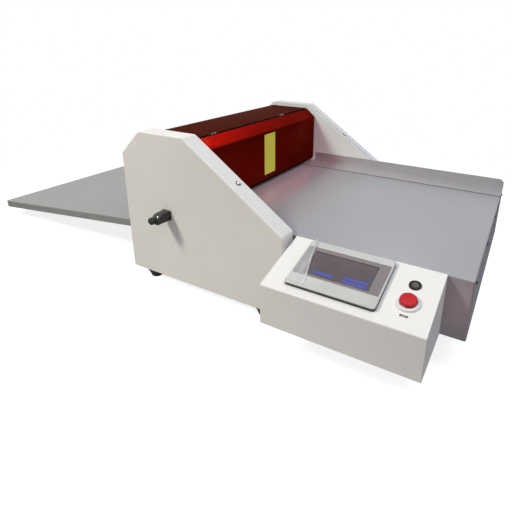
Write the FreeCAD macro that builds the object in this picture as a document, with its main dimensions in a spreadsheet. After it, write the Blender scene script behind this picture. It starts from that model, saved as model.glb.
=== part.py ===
import FreeCAD, Part
import math
import os

import Sketcher
from FreeCAD import Placement, Rotation, Vector

# A desktop paper creasing machine, in millimetres.
#
# X runs along the paper's way: sheets are fed by hand from +X, over the infeed table, under the
# hinged red cover, and leave over the outfeed tray at -X. Y runs across the machine, with the
# operator's side and the control box at -Y. Z is up and the rubber feet stand on Z = 0. The origin
# lies on that plane under the middle of the whole machine, its trays and its control box included.
#
# A "station" is a distance along X from the casings' rear face, and a "level" is a height above
# the casings' underside. Every piece is drawn about the middle of the two casings, and is then
# moved to the origin.

SIZES = (
    # side casings: a thick inner frame plate and a sheet-metal outer cover on each side
    ("inner_width", 550.0, "between the inner faces of the side frames"),
    ("frame_plate", 10.0, "thickness of a side frame"),
    ("cover_depth", 34.0, "depth of a side cover outside its frame"),
    ("casing_depth", 448.0, "front to rear of a casing"),
    ("casing_height", 362.0, "underside to flat top of a casing"),
    ("rear_height", 303.0, "height of the upright rear edge"),
    ("front_height", 187.0, "height of the upright front edge"),
    ("top_inset", 62.0, "rear face to the start of the flat top"),
    ("top_length", 133.0, "length of the flat top"),
    ("corner_radius", 7.0, "casing corners, seen from the side"),
    ("cover_edge_radius", 3.0, "rounded rim of a side cover"),
    ("cover_wall", 1.5, "sheet of a side cover"),
    # feet
    ("foot_height", 22.0, "height of a foot"),
    ("foot_top_radius", 21.0, "foot where it meets the casing"),
    ("foot_base_radius", 13.5, "foot where it stands"),
    ("foot_inset", 22.0, "foot's middle from the casing's outer face"),
    ("rear_foot_station", 57.0, "station of the rear feet"),
    ("front_foot_station", 391.0, "station of the front feet"),
    # side cover screws
    ("cap_head_radius", 3.8, "head of a cover screw"),
    ("cap_head_height", 2.2, "height of that head"),
    ("cap_shank_radius", 2.0, "shank of a cover screw"),
    ("cap_shank_length", 9.0, "length of that shank"),
    ("screw_hole_gap", 0.2, "shank in its hole"),
    ("cover_screw_inset", 27.0, "slope screw's middle from the casing's outer face"),
    ("slope_screw_run", 155.0, "slope screw from the top corner, along the slope"),
    ("upright_screw_level", 120.0, "level of the screws in the front and rear walls"),
    # belly pan and beams
    ("pan_inset", 12.0, "pan from the casing's front and rear faces"),
    ("pan_level", 3.0, "underside of the pan"),
    ("pan_sheet", 2.0, "sheet of the pan"),
    ("pan_flange", 22.0, "height of the pan's upturned ends"),
    ("beam_depth", 20.0, "height of the front and top beams"),
    ("front_beam_width", 36.0, "front beam along X"),
    ("front_beam_station", 394.0, "station of the front beam's rear face"),
    ("top_beam_width", 30.0, "top beam along X, inside the guard's rear corner"),
    # creasing bed
    ("crease_station", 135.0, "station of the crease line"),
    ("table_level", 177.0, "paper plane"),
    ("bed_width", 76.0, "bed beam along X"),
    ("bed_height", 48.0, "height of the bed beam"),
    ("bed_drop", 1.0, "bed beam's top below the paper plane"),
    ("trough_depth", 36.0, "depth of the trough in the bed beam"),
    ("anvil_width", 40.0, "anvil bar along X"),
    ("anvil_height", 28.0, "height of the anvil bar"),
    ("anvil_top", 4.0, "thickness above the anvil's channel"),
    ("anvil_leg", 8.0, "thickness of the anvil's legs"),
    ("anvil_drop", 0.5, "anvil's top below the paper plane at rest"),
    ("anvil_end_gap", 3.0, "anvil bar from the side frames"),
    ("slide_gap", 0.5, "clearance of sliding flat faces"),
    ("groove_width", 4.0, "creasing groove"),
    ("groove_depth", 2.0, "depth of that groove"),
    # depth adjuster
    ("depth_shaft_radius", 3.0, "depth shaft"),
    ("depth_shaft_level", 167.0, "level of the depth shaft"),
    ("depth_travel", 1.5, "anvil's travel"),
    ("depth_turn", 150.0, "turn of the knob that gives that travel, in degrees"),
    ("depth_spare", 20.0, "turn left between a cam's nose and its place at rest, in degrees"),
    ("depth_cam_width", 20.0, "length of a depth cam"),
    ("depth_cam_inset", 75.0, "depth cam from the side frame"),
    ("shaft_clearance", 0.05, "running clearance of shafts in bearings"),
    ("knob_gap", 0.5, "knob from the side cover"),
    ("knob_rise", 4.5, "knob's middle above its shaft"),
    ("knob_rosette", 23.7, "square foot of the knob"),
    ("knob_rosette_depth", 3.0, "thickness of that foot"),
    ("knob_body_base", 22.6, "knob's body at the foot"),
    ("knob_body_tip", 21.4, "knob's body at its outer end"),
    ("knob_body_depth", 38.0, "length of the body"),
    ("knob_shoulder_start", 25.0, "body's flat top, up to its sloping shoulder"),
    ("knob_shoulder_fall", 39.0, "slope of the shoulder, in degrees"),
    ("knob_finger_radius", 8.6, "finger grip of the knob"),
    ("knob_finger_depth", 10.5, "finger grip beyond the body"),
    ("knob_finger_root", 1.0, "finger grip inside the body"),
    ("knob_finger_offset", 1.5, "finger grip off the body's middle, to the rear"),
    ("knob_recess_radius", 3.6, "recess for the clamping screw"),
    ("knob_recess_depth", 2.5, "depth of that recess"),
    ("knob_screw_offset", 2.0, "clamping screw off the body's middle, to the front"),
    ("knob_screw_reach", 6.5, "clamping screw down the shoulder"),
    ("knob_screw_radius", 2.6, "head of the clamping screw"),
    ("knob_screw_height", 2.0, "height of that head"),
    # blade and its drive
    ("stroke", 5.8, "blade's working stroke"),
    ("blade_thickness", 2.0, "creasing blade"),
    ("blade_height", 30.0, "height of the creasing blade"),
    ("blade_lift", 5.0, "blade's edge above the anvil at rest"),
    ("blade_reach", 15.0, "blade's edge below its holder"),
    ("blade_end_gap", 16.0, "blade from the side frames"),
    ("holder_width", 30.0, "blade holder along X"),
    ("holder_height", 50.0, "height of the blade holder"),
    ("holder_end_gap", 1.0, "blade holder from the side frames"),
    ("guide_width", 10.0, "guide rail along X"),
    ("guide_depth", 14.0, "guide rail along Y"),
    ("guide_height", 34.0, "height of a guide rail"),
    ("guide_rise", 6.0, "guide rail above the blade holder's underside"),
    ("cam_low", 18.0, "least radius of a cam"),
    ("cam_turn", 170.0, "turn of the cams that gives the stroke, in degrees"),
    ("cam_thickness", 12.0, "thickness of a cam"),
    ("cam_inset", 30.0, "cam's middle from the side frame"),
    ("cam_gap", 0.3, "cams to the faces that they press"),
    ("cam_nose", 8.0, "flat of a cam's nose, each way, in degrees"),
    ("yoke_wall", 8.0, "wall of a yoke"),
    ("yoke_window", 54.0, "yoke's window along X"),
    ("yoke_thickness", 14.0, "thickness of a yoke"),
    ("cam_shaft_radius", 8.0, "cam shaft"),
    ("crease_pulley_radius", 20.0, "both pulleys of the crease belt"),
    ("pulley_width", 14.0, "width of a pulley"),
    ("pulley_gap", 4.0, "pulley from the side frame"),
    ("belt_thickness", 1.8, "timing belt"),
    ("belt_gap", 0.3, "belt to pulley"),
    ("belt_width", 10.0, "width of a belt"),
    ("flange_height", 3.5, "pulley flanges above the belt's seat"),
    ("flange_width", 1.5, "thickness of a pulley flange"),
    ("crease_motor_station", 205.0, "station of the crease motor"),
    ("crease_motor_level", 78.0, "level of the crease motor"),
    ("crease_motor_radius", 30.0, "gear motor's barrel"),
    ("crease_motor_length", 118.0, "length of the gear motor"),
    ("motor_shaft_radius", 5.0, "output shafts of both motors"),
    ("motor_socket", 12.0, "output shaft's length inside a motor"),
    # feed rollers and their drive
    ("roller_pitch", 59.0, "drive roller to crease line along X"),
    ("drive_roller_radius", 16.0, "drive roller over its rubber"),
    ("rubber_thickness", 5.0, "rubber of a drive roller"),
    ("roller_end_gap", 6.0, "roller from the side frames"),
    ("journal_radius", 6.0, "journals of all rollers"),
    ("pinch_radius", 12.0, "pinch roller"),
    ("nip", 0.3, "gap between the rollers"),
    ("feed_pulley_radius", 14.0, "all pulleys of the feed belt"),
    ("feed_motor_level", 78.0, "level of the feed motor"),
    ("feed_motor_square", 57.0, "side of the feed motor"),
    ("feed_motor_length", 76.0, "length of the feed motor"),
    ("bearing_wall", 4.0, "ring of a bearing around its shaft"),
    ("bearing_lip", 2.0, "bearing's lip beyond its seat"),
    ("bearing_lip_depth", 1.5, "thickness of that lip"),
    # red guard and hinged cover
    ("acrylic", 4.0, "thickness of the red sheet"),
    ("guard_drop", 11.0, "guard's top below the casings' flat top"),
    ("guard_rear_station", 57.0, "rear face of the guard"),
    ("guard_rear_level", 232.0, "lower edge of the guard's rear wall"),
    ("guard_side_gap", 1.0, "guard from the side frames"),
    ("hinge_station", 192.0, "station of the cover's hinge line"),
    ("hinge_gap", 2.6, "hinge line to the guard and to the cover"),
    ("cover_run", 30.0, "hinge line to the cover's front, along X"),
    ("cover_tilt", 39.2, "fall of the cover's top strip, in degrees"),
    ("cover_clearance", 11.5, "cover's lower edge above the paper plane"),
    ("cover_side_gap", 4.5, "cover from the side frames"),
    ("cover_corner", 9.0, "rounded lower corners of the cover"),
    ("fold_radius", 5.0, "outside of the cover's fold"),
    ("rest_width", 12.0, "cover rest along X and across"),
    ("rest_height", 16.0, "height of a cover rest"),
    ("rest_level", 236.0, "underside of the cover rests"),
    ("rest_gap", 0.2, "cover rest behind the cover"),
    ("hinge_length", 30.0, "length of a hinge"),
    ("near_hinge_offset", 67.0, "near hinge from the near frame"),
    ("far_hinge_offset", 166.0, "far hinge from the far frame"),
    ("knuckle_radius", 1.9, "hinge knuckle"),
    ("knuckle_gap", 0.2, "between a hinge's knuckles"),
    ("pin_clearance", 0.1, "hinge pin in its knuckles"),
    ("pin_radius", 0.8, "hinge pin"),
    ("leaf", 1.0, "thickness of a hinge leaf"),
    ("leaf_reach", 22.0, "hinge leaf from the hinge line"),
    # infeed table and side guide
    ("table_start_station", 207.0, "table's edge behind the cover"),
    ("table_end_station", 805.0, "table's outer end"),
    ("table_sheet", 1.5, "sheet of the tables"),
    ("table_side_gap", 1.0, "table from the side frames"),
    ("table_bend", 4.0, "outside radius of the tables' bends"),
    ("apron_drop", 124.5, "table's skirts, from its top"),
    ("skirt_gap", 3.0, "skirts from the casings' front face"),
    ("end_bar_height", 18.0, "stiffening bar behind the table's end"),
    ("end_bar_width", 6.0, "thickness of that bar"),
    ("end_screw_drop", 9.0, "end screws below the table's top"),
    ("end_screw_inset", 14.0, "outer end screws from the table's edges"),
    ("end_screw_head", 3.4, "head radius of an end screw"),
    ("end_screw_height", 1.9, "height of that head"),
    ("end_shank_radius", 1.9, "shank of an end screw"),
    ("end_shank_length", 6.0, "length of that shank"),
    ("guide_strip", 62.0, "side guide's foot across the table"),
    ("guide_fence", 30.5, "side guide's fence above the table"),
    ("guide_side_gap", 0.5, "side guide from the far frame"),
    ("guide_start_gap", 9.0, "fence from the cover's front"),
    ("guide_end_chamfer", 8.0, "cut corner at the fence's outer end"),
    ("guide_start_radius", 4.0, "rounded corner at the fence's inner end"),
    # outfeed tray
    ("tray_station", 30.0, "tray's upper end"),
    ("tray_level", 111.0, "tray's top at its upper end"),
    ("tray_tilt", 6.45, "fall of the tray, in degrees"),
    ("tray_length", 710.0, "tray along its fall"),
    ("tray_side_gap", 3.0, "tray from the side frames"),
    ("tray_flange", 22.0, "depth of the tray's flanges"),
    ("tray_sheet_drop", 21.5, "rear beam's underside below the tray's top"),
    ("rear_beam_height", 20.0, "height of the rear beam"),
    ("rear_beam_width", 24.0, "rear beam along the tray"),
    # control box
    ("box_gap", 9.0, "control box from the casings' front face"),
    ("box_length", 302.0, "control box along X"),
    ("box_depth", 142.0, "control box along Y"),
    ("panel_tilt", 15.66, "slope of the control panel, in degrees"),
    ("box_sheet", 1.5, "sheet of the control box"),
    ("box_edge_radius", 3.0, "bends of the control box"),
    ("touch_offset", 41.5, "touch panel from the box's left end"),
    ("touch_rise", 18.0, "touch panel from the panel's front edge"),
    ("touch_length", 172.0, "touch panel's bezel along X"),
    ("touch_width", 122.0, "touch panel's bezel up the slope"),
    ("touch_depth", 7.0, "bezel above its gasket"),
    ("touch_corner", 6.0, "bezel's corners"),
    ("touch_rim", 8.0, "bezel's edge overlapping the panel"),
    ("gasket", 1.5, "thickness of the gasket"),
    ("gasket_inset", 2.5, "gasket inside the bezel's edge"),
    ("housing_depth", 34.0, "touch panel's housing behind the panel"),
    ("screen_side", 22.5, "screen from the bezel's left edge"),
    ("screen_length", 127.0, "screen along X"),
    ("screen_rise", 32.0, "screen from the bezel's front edge"),
    ("screen_width", 62.0, "screen up the slope"),
    ("screen_recess", 1.0, "screen below the bezel's face"),
    ("screen_glass", 2.0, "thickness of the screen's glass"),
    ("button_offset", 257.5, "both buttons from the box's left end"),
    ("stop_rise", 58.0, "stop button from the panel's front edge"),
    ("start_rise", 100.5, "start button from the panel's front edge"),
    ("collar_radius", 20.5, "stop button's collar"),
    ("collar_bore", 16.2, "opening of the collar"),
    ("collar_height", 5.0, "height of the collar"),
    ("collar_floor", 1.0, "floor of the collar"),
    ("stop_cap_radius", 15.0, "stop button's cap"),
    ("stop_cap_height", 6.5, "thickness of the cap"),
    ("stop_cap_lift", 5.5, "cap's underside above the panel"),
    ("stop_stem_radius", 7.0, "stem of the stop button"),
    ("stem_clearance", 0.3, "stems in their barrels"),
    ("stem_depth", 20.0, "stop button's stem behind the panel"),
    ("barrel_wall", 2.4, "wall of a button's barrel"),
    ("panel_hole_gap", 0.2, "barrels in the panel's holes"),
    ("stop_barrel_depth", 28.0, "stop button's barrel behind the panel"),
    ("contact_block", 26.0, "side of a contact block"),
    ("contact_depth", 16.0, "depth of a contact block"),
    ("start_bezel_radius", 11.0, "start button's bezel"),
    ("start_bezel_height", 2.5, "height of that bezel"),
    ("start_cap_radius", 7.6, "start button's cap"),
    ("start_cap_lift", 2.2, "start button's cap above the panel"),
    ("start_cap_depth", 9.0, "start button's cap behind the panel"),
    ("start_barrel_depth", 22.0, "start button's barrel behind the panel"),
    # electrics
    ("inlet_width", 23.0, "power inlet across"),
    ("inlet_height", 50.0, "power inlet, upright"),
    ("inlet_flange", 2.5, "power inlet's flange"),
    ("inlet_body_width", 19.0, "power inlet's body across"),
    ("inlet_body_height", 28.0, "power inlet's body, upright"),
    ("inlet_depth", 26.0, "power inlet's body inside the cover"),
    ("inlet_level", 62.0, "level of the inlet's middle"),
    ("inlet_well", 16.0, "depth of the inlet's well"),
    ("inlet_pin", 4.0, "height of the inlet's contact blades"),
    ("inlet_pin_width", 2.0, "thickness of those blades"),
    ("inlet_pin_pitch", 7.0, "between those blades"),
    ("supply_length", 160.0, "power supply across the machine"),
    ("supply_width", 98.0, "power supply along X"),
    ("supply_height", 38.0, "power supply's height"),
    ("supply_station", 290.0, "power supply's rear face"),
)

doc = FreeCAD.newDocument("creasing_machine")
sheet = doc.addObject("Spreadsheet::Sheet", "Size")
for row, (name, value, note) in enumerate(SIZES, start=1):
    sheet.set("A%d" % row, name)
    sheet.set("B%d" % row, str(value))
    sheet.set("C%d" % row, note)
    sheet.setAlias("B%d" % row, name)
doc.recompute()


class Formula:
    """A formula over the sheet's cells, with the number that it gives."""

    def __init__(self, text, number):
        self.text = text
        self.number = number

    def join(self, sign, other, number):
        return Formula("(%s %s %s)" % (self.text, sign, formula(other).text), number)

    def __add__(self, other):
        return self.join("+", other, self.number + formula(other).number)

    def __sub__(self, other):
        return self.join("-", other, self.number - formula(other).number)

    def __mul__(self, other):
        return self.join("*", other, self.number * formula(other).number)

    def __truediv__(self, other):
        return self.join("/", other, self.number / formula(other).number)

    def __rmul__(self, other):
        return formula(other) * self

    def __neg__(self):
        return Formula("(-%s)" % self.text, -self.number)


def formula(value):
    """Returns a formula as it is, and a plain number as a formula."""
    if isinstance(value, Formula):
        return value
    return Formula(repr(float(value)), float(value))


class Sizes:
    """Gives each cell of the sheet by its name."""

    def __getattr__(self, name):
        return Formula("Size." + name, float(sheet.get(name)))


def sine(angle):
    return Formula("sin(%s * 1 deg)" % angle.text, math.sin(math.radians(angle.number)))


def cosine(angle):
    return Formula("cos(%s * 1 deg)" % angle.text, math.cos(math.radians(angle.number)))


def tangent(angle):
    return Formula("tan(%s * 1 deg)" % angle.text, math.tan(math.radians(angle.number)))


size = Sizes()
ZERO = formula(0.0)
ONE = formula(1.0)
HALF_TURN = formula(180.0)
LEFT_TURN = formula(90.0)
UPRIGHT = (Vector(0, 0, 1), ZERO)
ALONG_X = (Vector(0, 1, 0), LEFT_TURN)
ALONG_Y = (Vector(1, 0, 0), -LEFT_TURN)
TILTED = (Vector(1, 0, 0), size.panel_tilt)


def station(distance):
    """Turns a distance from the casings' rear face into X."""
    return formula(distance) - size.casing_depth / 2


def level(height):
    """Turns a height above the casings' underside into Z."""
    return formula(height) + size.foot_height


half_width = size.inner_width / 2
cover_face = half_width + size.frame_plate
outer_face = cover_face + size.cover_depth
paper_plane = level(size.table_level)
crease_x = station(size.crease_station)
front_x = station(size.casing_depth)
rear_x = station(ZERO)

guard_top = size.casing_height - size.guard_drop
tray_plain = size.tray_station + size.skirt_gap
inlet_y = cover_face + size.cover_depth / 2
inlet_z = level(size.inlet_level)
table_edge_y = half_width - size.table_side_gap
box_left = front_x + size.box_gap
panel_front_y = -(table_edge_y + size.box_depth)
panel_front_z = paper_plane - size.box_depth * tangent(size.panel_tilt)

# from the middle of the casings to the origin
tray_bent = size.table_bend * (ONE - sine(size.tray_tilt))
tray_run = (size.tray_length - size.table_bend) * cosine(size.tray_tilt) + tray_bent
lowest_x = station(size.tray_station) - tray_run
highest_x = station(size.table_end_station) + size.end_screw_height
shift_x = -(lowest_x + highest_x) / 2.0
shift_y = -(panel_front_y + outer_face) / 2.0

placed = {}
sub_parts = []


# ---------------------------------------------------------------------------------------------
# building blocks


def bind(item, name, value):
    item.setExpression(name, formula(value).text)


def place(item, x, y, z, turn=UPRIGHT):
    """Puts an item's own origin at x, y, z, turned about an axis by a bound angle."""
    axis, angle = turn
    placed[item.Name] = (x, y)
    item.Placement = Placement(Vector(), Rotation(axis, angle.number))
    for name, value in (("x", x), ("y", y), ("z", z)):
        bind(item, "Placement.Base." + name, value)
    if angle is not ZERO:
        bind(item, "Placement.Rotation.Angle", angle)
        item.Placement = Placement(item.Placement.Base, Rotation(axis, angle.number))


def box(name, corner, sides, turn=UPRIGHT):
    item = doc.addObject("Part::Box", name)
    for side, value in zip(("Length", "Width", "Height"), sides):
        bind(item, side, value)
    place(item, *corner, turn)
    return item


def centred_box(name, x, z, sides):
    """A box that is centred on Y = 0, with its lower rear edge at x, z."""
    return box(name, (x, -sides[1] / 2, z), sides)


def rod(name, radius, start, length, turn):
    item = doc.addObject("Part::Cylinder", name)
    bind(item, "Radius", radius)
    bind(item, "Height", length)
    place(item, *start, turn)
    return item


def rod_across(name, radius, x, z, y_ends):
    """A rod along Y between two places, given in either order."""
    y_from, y_to = sorted(y_ends, key=lambda end: end.number)
    return rod(name, radius, (x, y_from, z), y_to - y_from, ALONG_Y)


def on_panel(along, rise, height):
    """A point over the control panel, from its front left corner."""
    run = rise * cosine(size.panel_tilt) - height * sine(size.panel_tilt)
    climb = rise * sine(size.panel_tilt) + height * cosine(size.panel_tilt)
    return box_left + along, panel_front_y + run, panel_front_z + climb


def fuse(name, items):
    item = doc.addObject("Part::MultiFuse", name)
    item.Shapes = items
    return item


def group(name, items):
    """Several separate solids in one node."""
    item = doc.addObject("Part::Compound", name)
    item.Links = items
    return item


def cut(name, base, tools):
    item = doc.addObject("Part::Cut", name)
    item.Base = base
    item.Tool = tools[0] if len(tools) == 1 else fuse(name + "_openings", tools)
    return item


def rounded(name, base, radius, wanted):
    """Rounds the edges of a base that the function wanted picks."""
    doc.recompute()
    item = doc.addObject("Part::Fillet", name)
    item.Base = base
    picked = [number for number, edge in enumerate(base.Shape.Edges, start=1) if wanted(edge)]
    item.Edges = [(number, radius.number, radius.number) for number in picked]
    return item


def runs_along(edge, direction):
    """True for a straight edge that is parallel to a direction."""
    if not isinstance(edge.Curve, Part.Line):
        return False
    return abs(edge.Curve.Direction.dot(direction)) > 0.999


def outline_body(name, plane, points, length, reverse=False, centred=False):
    """A body padded from a closed outline whose corners are tied to the sheet."""
    body = doc.addObject("PartDesign::Body", name)
    sketch = body.newObject("Sketcher::SketchObject", name + "_outline")
    support = [item for item in body.Origin.OriginFeatures if item.Role == plane]
    sketch.AttachmentSupport = [(support[0], "")]
    sketch.MapMode = "FlatFace"
    numbers = [Vector(across.number, up.number, 0) for across, up in points]
    for index, start in enumerate(numbers):
        sketch.addGeometry(Part.LineSegment(start, numbers[(index + 1) % len(numbers)]))
    for index in range(len(points)):
        following = (index + 1) % len(points)
        sketch.addConstraint(Sketcher.Constraint("Coincident", index, 2, following, 1))
    for index, (across, up) in enumerate(points):
        for kind, value in (("DistanceX", across), ("DistanceY", up)):
            tie = Sketcher.Constraint(kind, -1, 1, index, 1, value.number)
            number = sketch.addConstraint(tie)
            bind(sketch, "Constraints[%d]" % number, value)
    pad = body.newObject("PartDesign::Pad", name + "_pad")
    pad.Profile = sketch
    pad.Reversed = reverse
    pad.Midplane = centred
    bind(pad, "Length", length)
    doc.recompute()
    return body


def round_body(body, radius, wanted):
    """Adds a fillet to a body, on the edges that the function wanted picks."""
    base = body.Tip
    edges = base.Shape.Edges
    names = ["Edge%d" % number for number, edge in enumerate(edges, start=1) if wanted(edge)]
    fillet = body.newObject("PartDesign::Fillet", body.Name + "_round")
    fillet.Base = (base, names)
    bind(fillet, "Radius", radius)
    doc.recompute()


def hollow_body(body, wall, opening):
    """Shells a body inwards, open at the faces that the function opening picks."""
    base = body.Tip
    faces = base.Shape.Faces
    names = ["Face%d" % number for number, face in enumerate(faces, start=1) if opening(face)]
    shell = body.newObject("PartDesign::Thickness", body.Name + "_shell")
    shell.Base = (base, names)
    shell.Reversed = True
    bind(shell, "Value", wall)
    doc.recompute()


def through(points, first, second):
    """Returns a test for edges that run through the corners at these plane coordinates."""

    def wanted(edge):
        if len(edge.Vertexes) != 2 or not isinstance(edge.Curve, Part.Line):
            return False
        ends = [(getattr(end.Point, first), getattr(end.Point, second)) for end in edge.Vertexes]
        for across, up in points:
            spot = (across.number, up.number)
            if all(math.dist(end, spot) < 0.01 for end in ends):
                return True
        return False

    return wanted


def finish(item, label):
    """Names a finished sub-part, moves it to the origin and lists it for export."""
    item.Label = label
    x, y = placed.get(item.Name, (ZERO, ZERO))
    bind(item, "Placement.Base.x", x + shift_x)
    bind(item, "Placement.Base.y", y + shift_y)
    sub_parts.append(item)
    return item


# ---------------------------------------------------------------------------------------------
# side casings


def casing_outline():
    top_rear = size.top_inset
    top_front = size.top_inset + size.top_length
    return [
        (rear_x, level(0)),
        (front_x, level(0)),
        (front_x, level(size.front_height)),
        (station(top_front), level(size.casing_height)),
        (station(top_rear), level(size.casing_height)),
        (rear_x, level(size.rear_height)),
    ]


def shaft_places():
    """Names, stations and levels of the shafts that run through both side frames."""
    drive_level = size.table_level - size.drive_roller_radius
    pinch_level = size.table_level + size.nip + size.pinch_radius
    ahead = size.crease_station + size.roller_pitch
    behind = size.crease_station - size.roller_pitch
    return (
        ("infeed_drive", ahead, drive_level, size.journal_radius),
        ("infeed_pinch", ahead, pinch_level, size.journal_radius),
        ("outfeed_drive", behind, drive_level, size.journal_radius),
        ("outfeed_pinch", behind, pinch_level, size.journal_radius),
        ("cam", size.crease_station, cam_level, size.cam_shaft_radius),
        ("depth", size.crease_station, size.depth_shaft_level, size.depth_shaft_radius),
    )


# blade and cams, in levels
blade_edge_level = size.table_level - size.anvil_drop + size.blade_lift
holder_level = blade_edge_level + size.blade_reach
yoke_level = holder_level + size.holder_height
cam_level = yoke_level + size.yoke_wall + size.cam_gap + size.cam_low
cam_rate = size.stroke / size.cam_turn
cam_high = size.cam_low + cam_rate * HALF_TURN
window_height = size.cam_low + cam_high + 2.0 * size.cam_gap


def side_frame(side, sign, motor_station, motor_level, trims):
    """A frame plate with its bearing seats; trims are what it has to fit inside."""
    name = "side_frame_" + side
    plate = outline_body(name + "_plate", "XZ_Plane", casing_outline(), size.frame_plate, sign > 0)
    round_body(plate, size.corner_radius, lambda edge: runs_along(edge, Vector(0, 1, 0)))
    place(plate, ZERO, sign * half_width, ZERO)
    ends = (sign * half_width, sign * cover_face)
    openings = []
    for shaft, along, height, radius in shaft_places():
        seat = radius + size.shaft_clearance + size.bearing_wall
        places = (station(along), level(height), ends)
        openings.append(rod_across(name + "_" + shaft + "_seat", seat, *places))
    room = size.motor_shaft_radius + size.bearing_wall
    places = (station(motor_station), level(motor_level), ends)
    openings.append(rod_across(name + "_motor_hole", room, *places))
    return finish(cut(name, plate, openings + trims), name)


def cover_shell(side, sign, depth, inner_y):
    name = "side_cover_" + side + "_shell"
    shell = outline_body(name, "XZ_Plane", casing_outline(), depth, sign > 0)
    round_body(shell, size.corner_radius, lambda edge: runs_along(edge, Vector(0, 1, 0)))
    rim_y = sign * depth.number

    def on_rim(edge):
        box_ends = (edge.BoundBox.YMin, edge.BoundBox.YMax)
        return all(abs(end - rim_y) < 0.01 for end in box_ends)

    round_body(shell, size.cover_edge_radius, on_rim)
    hollow_body(shell, size.cover_wall, lambda face: abs(face.CenterOfMass.y) < 0.01)
    place(shell, ZERO, sign * inner_y, ZERO)
    return shell


def screw(name, head, shank, into, turn):
    """A button-head screw from two radii and lengths; into gives points behind its seat."""
    shank_rod = rod(name + "_shank", shank[0], into(shank[1]), shank[1], turn)
    head_rod = rod(name + "_head", head[0], into(ZERO), head[1], turn)
    return fuse(name, [shank_rod, head_rod])


def screw_places():
    """For each cover screw: its name, lean, and a function giving points along its axis."""
    fall = size.casing_height - size.front_height
    run = size.casing_depth - size.top_inset - size.top_length
    slope = Formula(
        "sqrt(%s * %s + %s * %s)" % (fall.text, fall.text, run.text, run.text),
        math.hypot(fall.number, run.number),
    )
    lean = Formula(
        "(90 - atan(%s / %s) / 1 deg)" % (run.text, fall.text),
        math.degrees(math.atan2(fall.number, run.number)),
    )
    share = size.slope_screw_run / slope
    x = station(size.top_inset + size.top_length + run * share)
    z = level(size.casing_height - fall * share)
    places = []
    for side, sign in (("near", -1.0), ("far", 1.0)):
        y = sign * (outer_face - size.cover_screw_inset)

        def into_slope(depth, y=y):
            return x - depth * fall / slope, y, z - depth * run / slope

        def into_rear(depth, y=y):
            return rear_x + depth, y, level(size.upright_screw_level)

        places.append((side, "slope_screw_" + side, (Vector(0, 1, 0), lean), into_slope))
        places.append((side, "rear_screw_" + side, (Vector(0, 1, 0), -LEFT_TURN), into_rear))
    return places


def cover_screws():
    """On each side, one button-head screw in the slope and one in the upright rear wall."""
    screws = []
    head = (size.cap_head_radius, size.cap_head_height)
    shank = (size.cap_shank_radius, size.cap_shank_length)
    for side, name, turn, into in screw_places():
        screws.append(screw(name, head, shank, into, turn))
    return finish(group("cover_screws", screws), "cover_screws")


def screw_holes(wanted):
    """Holes in a side cover for the shanks of its screws."""
    holes = []
    for side, name, turn, into in screw_places():
        if side == wanted:
            length = size.cap_shank_length
            radius = size.cap_shank_radius + size.screw_hole_gap
            holes.append(rod(name + "_hole", radius, into(length), length * 2.0, turn))
    return holes


def casings():
    """On each side a frame and its cover. The near cover is deeper and wraps the frame's edge."""
    near = cover_shell("near", -1.0, size.frame_plate + size.cover_depth, half_width)
    room = size.depth_shaft_radius + size.slide_gap
    places = (crease_x, level(size.depth_shaft_level), (-cover_face, -outer_face))
    holes = [rod_across("side_cover_near_hole", room, *places)] + screw_holes("near")
    finish(cut("side_cover_near", near, holes), "side_cover_near")
    side_frame("near", -1.0, size.crease_station, size.feed_motor_level, [near])
    far = cover_shell("far", 1.0, size.cover_depth, cover_face)
    sides = (size.inlet_depth, size.inlet_body_width, size.inlet_body_height)
    corner = (rear_x - size.inlet_depth / 2, inlet_y - sides[1] / 2, inlet_z - sides[2] / 2)
    holes = [box("side_cover_far_hole", corner, sides)] + screw_holes("far")
    finish(cut("side_cover_far", far, holes), "side_cover_far")
    side_frame("far", 1.0, size.crease_motor_station, size.crease_motor_level, [])


def feet():
    """Four rubber feet under the casings, each wider at the top."""
    solids = []
    for side, sign in (("near", -1.0), ("far", 1.0)):
        for end, along in (("rear", size.rear_foot_station), ("front", size.front_foot_station)):
            foot = doc.addObject("Part::Cone", "foot_%s_%s" % (side, end))
            bind(foot, "Radius1", size.foot_base_radius)
            bind(foot, "Radius2", size.foot_top_radius)
            bind(foot, "Height", size.foot_height)
            place(foot, station(along), sign * (outer_face - size.foot_inset), ZERO)
            solids.append(foot)
    return finish(group("feet", solids), "feet")


# ---------------------------------------------------------------------------------------------
# belly pan and beams


def belly_pan():
    """A sheet across the casings' underside, with its front and rear edges turned up."""
    low = level(size.pan_level)
    sheet_top = low + size.pan_sheet
    edge_top = low + size.pan_flange
    rear = station(size.pan_inset)
    front = station(size.casing_depth - size.pan_inset)
    points = [
        (rear, low),
        (front, low),
        (front, edge_top),
        (front - size.pan_sheet, edge_top),
        (front - size.pan_sheet, sheet_top),
        (rear + size.pan_sheet, sheet_top),
        (rear + size.pan_sheet, edge_top),
        (rear, edge_top),
    ]
    pan = outline_body("belly_pan", "XZ_Plane", points, size.inner_width, centred=True)
    return finish(pan, "belly_pan")


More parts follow.
